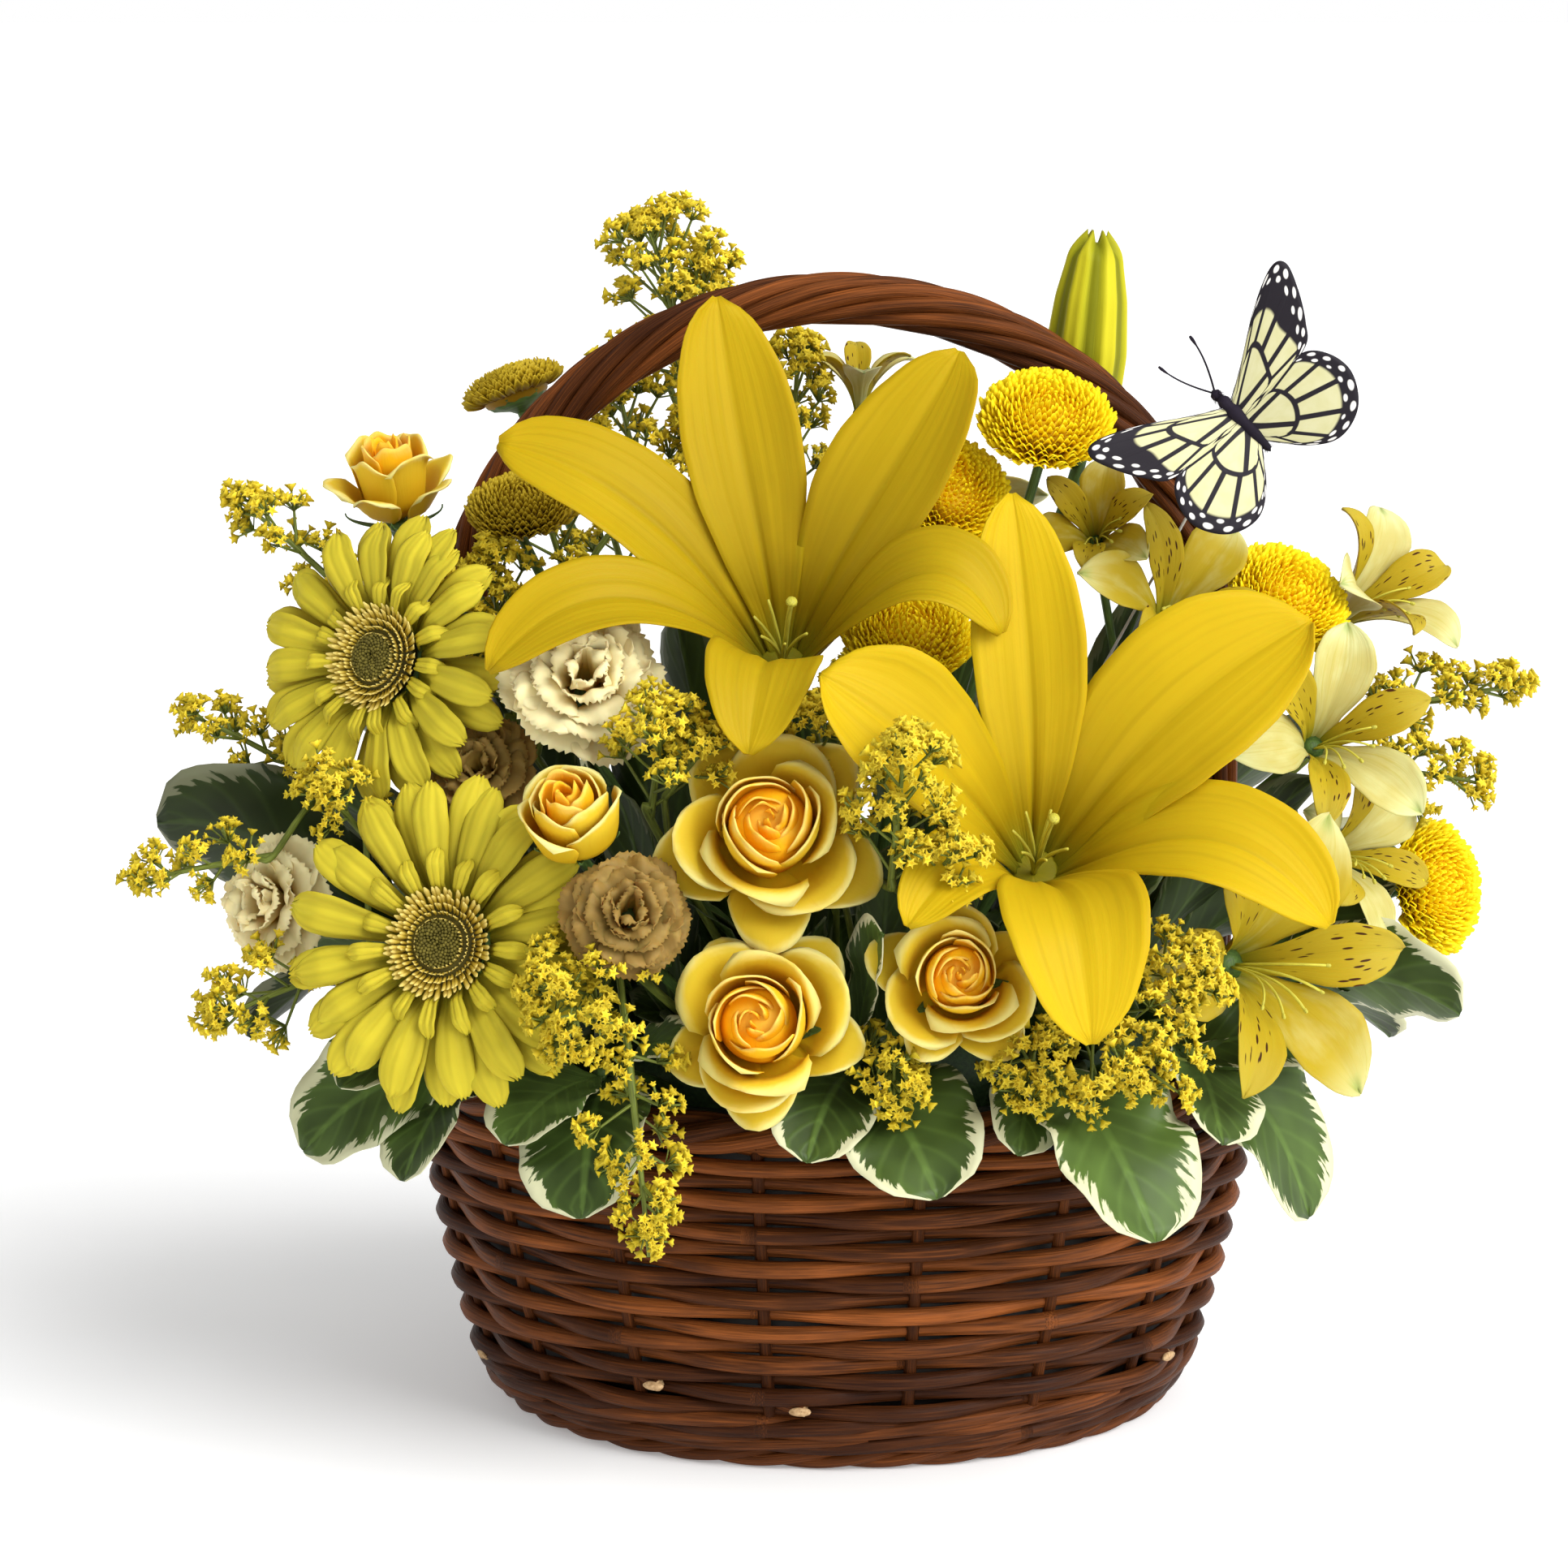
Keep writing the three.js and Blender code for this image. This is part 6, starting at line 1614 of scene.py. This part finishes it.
class FLOWERBASKET_OT_basket(bpy.types.Operator):
    """Weaves the wall, the floor and both borders of the basket"""

    bl_idname = "flowerbasket.basket"
    bl_label = "Basket"

    def execute(self, context):
        settings = context.scene.basket_settings
        rods = willow("stained willow", settings.dark, settings.light)
        place(basket_wall(settings), "basket_weave", "willow", [rods], "basket_side")
        place(foot_border(), "basket_foot_border", "willow_dark", [rods])
        place(base_weave(), "basket_floor_weave", "willow_dark", [rods], "basket_base")
        place(cut_ends(), "basket_cut_ends", "willow", [rods, cut_wood("cut willow end")])
        place(rim_border(), "basket_rim_border", "willow", [rods], "basket_rim")
        return {"FINISHED"}


class FLOWERBASKET_OT_handle(bpy.types.Operator):
    """Twists the rods of the hoop handle"""

    bl_idname = "flowerbasket.handle"
    bl_label = "Handle"

    def execute(self, context):
        settings = context.scene.basket_settings
        # Painted light: the handle's willow is painted a little lighter than the basket's, to match how the light falls
        # on it.
        rods = willow("handle willow", settings.dark, shade(settings.light, 1.05))
        place(hoop(), "handle_hoop", "willow", [rods], "handle")
        return {"FINISHED"}


class FLOWERBASKET_OT_filling(bpy.types.Operator):
    """Turns the liner, a dark sheet of painted shade inside the wall, and the wet foam"""

    bl_idname = "flowerbasket.filling"
    bl_label = "Liner and foam"

    def execute(self, context):
        # Painted shade: a thin dark sheet turned just inside the wall, so that the gaps between the rods show black.
        height = np.linspace(3, 108, 24)
        inner = smooth(WALL, height, 4) - 9.5
        shade_sheet = [*zip(inner, height), *zip(inner[::-1] - 0.7, height[::-1])]
        plastic = plain("liner plastic", (0.008, 0.016, 0.008), (0.02, 0.03, 0.018), 60)
        dark = plain("liner film", (0.006, 0.004, 0.003), (0.015, 0.01, 0.006), 60)
        wet = plain("wet foam", (0.012, 0.04, 0.012), (0.04, 0.09, 0.03), 900)
        place(turned(Skin(), LINER), "liner_cup", "liner", [plastic], "liner")
        place(turned(Skin(), [*shade_sheet, shade_sheet[0]]), "liner_film", "liner", [dark])
        place(turned(Skin(), FOAM), "foam_block", "foam", [wet], "foam")
        return {"FINISHED"}


class FLOWERBASKET_OT_lilies(bpy.types.Operator):
    """Opens the two lilies and shapes the bud"""

    bl_idname = "flowerbasket.lilies"
    bl_label = "Lilies"

    def execute(self, context):
        base = context.scene.flower_settings.lily
        # Painted shade: the left lily's tepals are a darker copy of the right lily's colour, a shaded and a lit copy of
        # one colour.
        petals = {
            "lily_left": lily_petal("shaded lily tepal", shade(base, 0.76)),
            "lily_right": lily_petal("lily tepal", shade(base, 0.97)),
        }
        for i, (name, (at, face, tepals)) in enumerate(LILIES.items()):
            flower = lily(at, face, tepals, 60 + i)
            place(flower, name + "_flower", "lily_petal", [petals[name], green(), filament()], name)
            stalk = Skin()
            stem(stalk, name, point(at) - unit(face) * LILY_TUBE, face, 2.8)
            place(stalk, name + "_stem", "leaf", [green()])
        place(lily_bud(), "lily_bud_closed", "lily_bud", [bud_skin("lily bud")], "lily_bud")
        stalk = Skin()
        stem(stalk, None, LILY_BUD["foot"], point(LILY_BUD["tip"]) - point(LILY_BUD["foot"]), 2.6)
        place(stalk, "lily_bud_stem", "leaf", [green()])
        return {"FINISHED"}


class FLOWERBASKET_OT_gerberas(bpy.types.Operator):
    """Sets the rays and the eye of both gerberas"""

    bl_idname = "flowerbasket.gerberas"
    bl_label = "Gerberas"

    def execute(self, context):
        rays = gerbera_petal("gerbera ray", context.scene.flower_settings.gerbera)
        buds = floret("eye bud", (0.03, 0.025, 0.004), (0.09, 0.075, 0.01), (0.2, 0.16, 0.025))
        collar = floret("eye collar", (0.3, 0.19, 0.015), (0.64, 0.46, 0.05), (0.84, 0.68, 0.2))
        for i, (name, head) in enumerate(GERBERAS.items()):
            round_heads(
                {name: head}, 11 + i, gerbera, lambda radius: GERBERA_DEPTH, 2.4, "_rays", "gerbera_petal", rays,
            )
            place(gerbera_eye(*head[:2], 31 + i), name + "_florets", "gerbera_eye", [buds, collar], name + "_eye")
        return {"FINISHED"}


class FLOWERBASKET_OT_roses(bpy.types.Operator):
    """Wraps the petals of the roses"""

    bl_idname = "flowerbasket.roses"
    bl_label = "Roses"

    def execute(self, context):
        petals = rose_petal("rose petal", context.scene.flower_settings.rose)
        round_heads(
            ROSES, 21, rose, lambda radius, kind: -ROSE_FEET[kind] * radius, 2.2, "_petals", "rose_petal", petals,
        )
        return {"FINISHED"}


class FLOWERBASKET_OT_mums(bpy.types.Operator):
    """Fills the heads of the button mums with florets"""

    bl_idname = "flowerbasket.mums"
    bl_label = "Button mums"

    def execute(self, context):
        base = context.scene.flower_settings.mum
        bright = floret("mum floret", (0.85, 0.42, 0.002), base, shade(base, 1.1))
        # Painted shade: the two mums under the handle and under the lily take a darker finish.
        shaded_mum = floret("old gold floret", (0.3, 0.14, 0.004), (0.42, 0.28, 0.01), (0.55, 0.4, 0.02))
        painted_shade_heads = ("mum_crown_left", "mum_behind_handle")
        round_heads(MUMS, 51, mum, lambda radius: MUM_DEPTH * radius, 1.8, "_florets", "mum_petal", bright, painted_shade_heads, shaded_mum)
        return {"FINISHED"}


class FLOWERBASKET_OT_alstroemerias(bpy.types.Operator):
    """Opens the flecked Peruvian lilies"""

    bl_idname = "flowerbasket.alstroemerias"
    bl_label = "Peruvian lilies"

    def execute(self, context):
        yellow = alstroemeria_petal("yellow outer petal", False)
        white = alstroemeria_petal("white outer petal", False, 0.45)
        inner = alstroemeria_petal("flecked inner petal", True)
        for i, (name, flowers) in enumerate(ALSTROEMERIAS.items()):
            skin = spray(name, 71 + i, alstroemeria, flowers, (1.9, 1.7), 3)
            outer = yellow if name in ("alstroemeria_front", "alstroemeria_middle") else white
            place(skin, name + "_petals", "alstroemeria_petal", [outer, inner, filament(), green()], name)
        return {"FINISHED"}


class FLOWERBASKET_OT_carnations(bpy.types.Operator):
    """Ruffles the petals of the carnations"""

    bl_idname = "flowerbasket.carnations"
    bl_label = "Carnations"

    def execute(self, context):
        petals = carnation_petal("carnation petal", context.scene.flower_settings.carnation)
        # Painted shade: the low carnation and the one between the heads take a darker finish.
        painted_shade_carnation = carnation_petal("tan carnation petal", (0.27, 0.17, 0.04))
        painted_shade_heads = ("carnation_low", "carnation_between")
        round_heads(
            CARNATIONS, 61, carnation, lambda radius: CARNATION_DEPTH * radius, 1.8, "_petals", "carnation_petal",
            petals, painted_shade_heads, painted_shade_carnation,
        )
        return {"FINISHED"}


class FLOWERBASKET_OT_goldenrod(bpy.types.Operator):
    """Grows the plumes of goldenrod"""

    bl_idname = "flowerbasket.goldenrod"
    bl_label = "Goldenrod"

    def execute(self, context):
        florets = context.scene.flower_settings.plume_florets
        buds = floret("goldenrod bud", (0.3, 0.27, 0.012), (0.8, 0.58, 0.02), (0.98, 0.75, 0.05))
        twigs = stem_green("goldenrod twig", (0.16, 0.2, 0.03))
        for i, (name, plumes) in enumerate(GOLDENROD.items()):
            skin = spray(name, 91 + i, plume, [(*grown, florets) for grown in plumes], (1.5, 1.4), 1)
            place(skin, name + "_plumes", "goldenrod_floret", [buds, twigs], name)
        return {"FINISHED"}


class FLOWERBASKET_OT_leaves(bpy.types.Operator):
    """Grows the sprigs of cream-edged leaves, and tucks filler leaves in over the foam"""

    bl_idname = "flowerbasket.leaves"
    bl_label = "Leaves"

    def execute(self, context):
        settings = context.scene.foliage_settings
        blades = leaf("variegated leaf", settings.green, settings.edge)
        # The filler leaves are a darker green with little cream edge: partly a darker leaf, partly painted shade
        # between the heads.
        dark = leaf("dark leaf", shade(settings.green, 0.7), settings.edge, 0.12)
        # Painted shade: the sprig at the far left takes a darker copy of the leaf, with a dimmer edge.
        shaded = leaf("shaded leaf", shade(settings.green, 0.34), shade(settings.edge, 0.4), 0.5)
        for i, (name, (crown, leaves)) in enumerate(SPRIGS.items()):
            shown = shaded if name == "leaves_left" else blades
            place(sprig(crown, leaves, 81 + i), name + "_sprig", "leaf", [shown, green()], name)
        place(fillers(settings.fillers), "filler_leaves", "leaf", [dark])
        return {"FINISHED"}


class FLOWERBASKET_OT_butterfly(bpy.types.Operator):
    """Sets the butterfly on its wire"""

    bl_idname = "flowerbasket.butterfly"
    bl_label = "Butterfly"

    def execute(self, context):
        wings, wire = Skin(), Skin()
        for mirror in (1, -1):
            wing(wings, FORE_WING, mirror, (-1.5, 1.5), 0.25)
            wing(wings, HIND_WING, mirror, (-1.5, -2.5), 0.75)
        at, _, up, _ = butterfly_frame()
        hook = at - up * (2 * BUTTERFLY["radius"] + 1.85)
        rod(wire, through(stem_path(hook, None, 0.8, SWAYS["butterfly_wire"]), 30), 0.45, 8)
        place(wings, "butterfly_printed_wings", "wing", [wing_print("printed wing")], "butterfly_wings")
        dark = floret("butterfly body", (0.012, 0.009, 0.016), (0.03, 0.02, 0.04), (0.12, 0.1, 0.12), 0.8)
        place(butterfly_body(), "butterfly_hairy_body", "butterfly_body", [dark], "butterfly_body")
        metal = plain("wire", (0.5, 0.5, 0.5), (0.7, 0.7, 0.7), 300, 1.0)
        place(wire, "butterfly_thin_wire", "wire", [metal], "butterfly_wire")
        return {"FINISHED"}


def surroundings(sky):
    """White at the horizon, where the floor ends, and dimmer overhead."""
    world = bpy.data.worlds.new("white surroundings")
    world.use_nodes = True
    f = Shading(world.node_tree)
    high = f.node("ShaderNodeSeparateXYZ", {}, {0: f.node("ShaderNodeTexCoord", {}, {})}, 2)
    strength = 1 - high.above(0.02, 0.3) * (1 - sky)
    f.tree.links.new(strength.socket, f.tree.nodes["Background"].inputs["Strength"])
    f.tree.nodes["Background"].inputs["Color"].default_value = (1, 1, 1, 1)
    return world


class FLOWERBASKET_OT_stage(bpy.types.Operator):
    """Sets the floor, the soft lights and the camera"""

    bl_idname = "flowerbasket.stage"
    bl_label = "Stage"

    def execute(self, context):
        settings = context.scene.stage_settings
        scene = context.scene
        mesh = bpy.data.meshes.new("floor")
        corners = [(x * FLOOR_REACH, y * FLOOR_REACH, 0) for x, y in ((-1, -1), (1, -1), (1, 1), (-1, 1))]
        mesh.from_pydata(corners, [], [(0, 1, 2, 3)])
        floor = bpy.data.objects.new("floor", mesh)
        scene.collection.objects.link(floor)
        f = Finish("floor", Roughness=0.9, Specular_IOR_Level=0.1)
        f.shader.inputs["Base Color"].default_value = (0.9, 0.9, 0.9, 1)
        f.shader.inputs["Emission Color"].default_value = (1, 1, 1, 1)
        f.shader.inputs["Emission Strength"].default_value = 0.26
        mesh.materials.append(f.material)
        scene.world = surroundings(settings.sky)
        lamps = [
            ("key", (1.25, -1.05, 1.5), settings.key, 45),
            ("fill", (-0.3, -1.4, 0.8), settings.key * 0.08, 80),
            ("side", (1.5, -1.0, 0.6), settings.key * 0.44, 50),
        ]
        for name, at, strength, spread in lamps:
            light = bpy.data.lights.new(name, "SUN")
            light.energy, light.angle = strength, math.radians(spread)
            lamp = bpy.data.objects.new(name, light)
            lamp.location = at
            lamp.rotation_euler = (-Vector(at)).to_track_quat("-Z", "Y").to_euler()
            scene.collection.objects.link(lamp)
        camera = bpy.data.objects.new("camera", bpy.data.cameras.new("camera"))
        camera.data.sensor_width, camera.data.lens = CAMERA["sensor"], CAMERA["lens"]
        camera.location = Vector(CAMERA["at"]) * MM
        look = Vector(CAMERA["target"]) * MM - camera.location
        camera.rotation_euler = look.to_track_quat("-Z", "Y").to_euler()
        scene.collection.objects.link(camera)
        scene.camera = camera
        scene.view_settings.view_transform = "Standard"
        return {"FINISHED"}


OPERATORS = (
    FLOWERBASKET_OT_stage, FLOWERBASKET_OT_basket, FLOWERBASKET_OT_handle, FLOWERBASKET_OT_filling,
    FLOWERBASKET_OT_lilies, FLOWERBASKET_OT_gerberas, FLOWERBASKET_OT_roses, FLOWERBASKET_OT_mums,
    FLOWERBASKET_OT_alstroemerias, FLOWERBASKET_OT_carnations, FLOWERBASKET_OT_goldenrod, FLOWERBASKET_OT_leaves,
    FLOWERBASKET_OT_butterfly,
)
SETTINGS = {
    "basket_settings": BasketSettings, "flower_settings": FlowerSettings, "foliage_settings": FoliageSettings,
    "stage_settings": StageSettings,
}


class FLOWERBASKET_PT_panel(bpy.types.Panel):
    bl_label = "Flower Basket"
    bl_idname = "FLOWERBASKET_PT_panel"
    bl_space_type = "VIEW_3D"
    bl_region_type = "UI"
    bl_category = "Flower Basket"

    def draw(self, context):
        for operator in OPERATORS:
            self.layout.operator(operator.bl_idname)
        for key, group in SETTINGS.items():
            box = self.layout.box()
            for name in group.__annotations__:
                box.prop(getattr(context.scene, key), name)


def register():
    for made in (*SETTINGS.values(), *OPERATORS, FLOWERBASKET_PT_panel):
        bpy.utils.register_class(made)
    for key, group in SETTINGS.items():
        setattr(bpy.types.Scene, key, PointerProperty(type=group))


def unregister():
    for key in SETTINGS:
        delattr(bpy.types.Scene, key)
    for made in reversed((*SETTINGS.values(), *OPERATORS, FLOWERBASKET_PT_panel)):
        bpy.utils.unregister_class(made)


def main():
    register()
    for operator in OPERATORS:
        _, name = operator.bl_idname.split(".")
        getattr(bpy.ops.flowerbasket, name)()


if __name__ == "__main__":
    main()
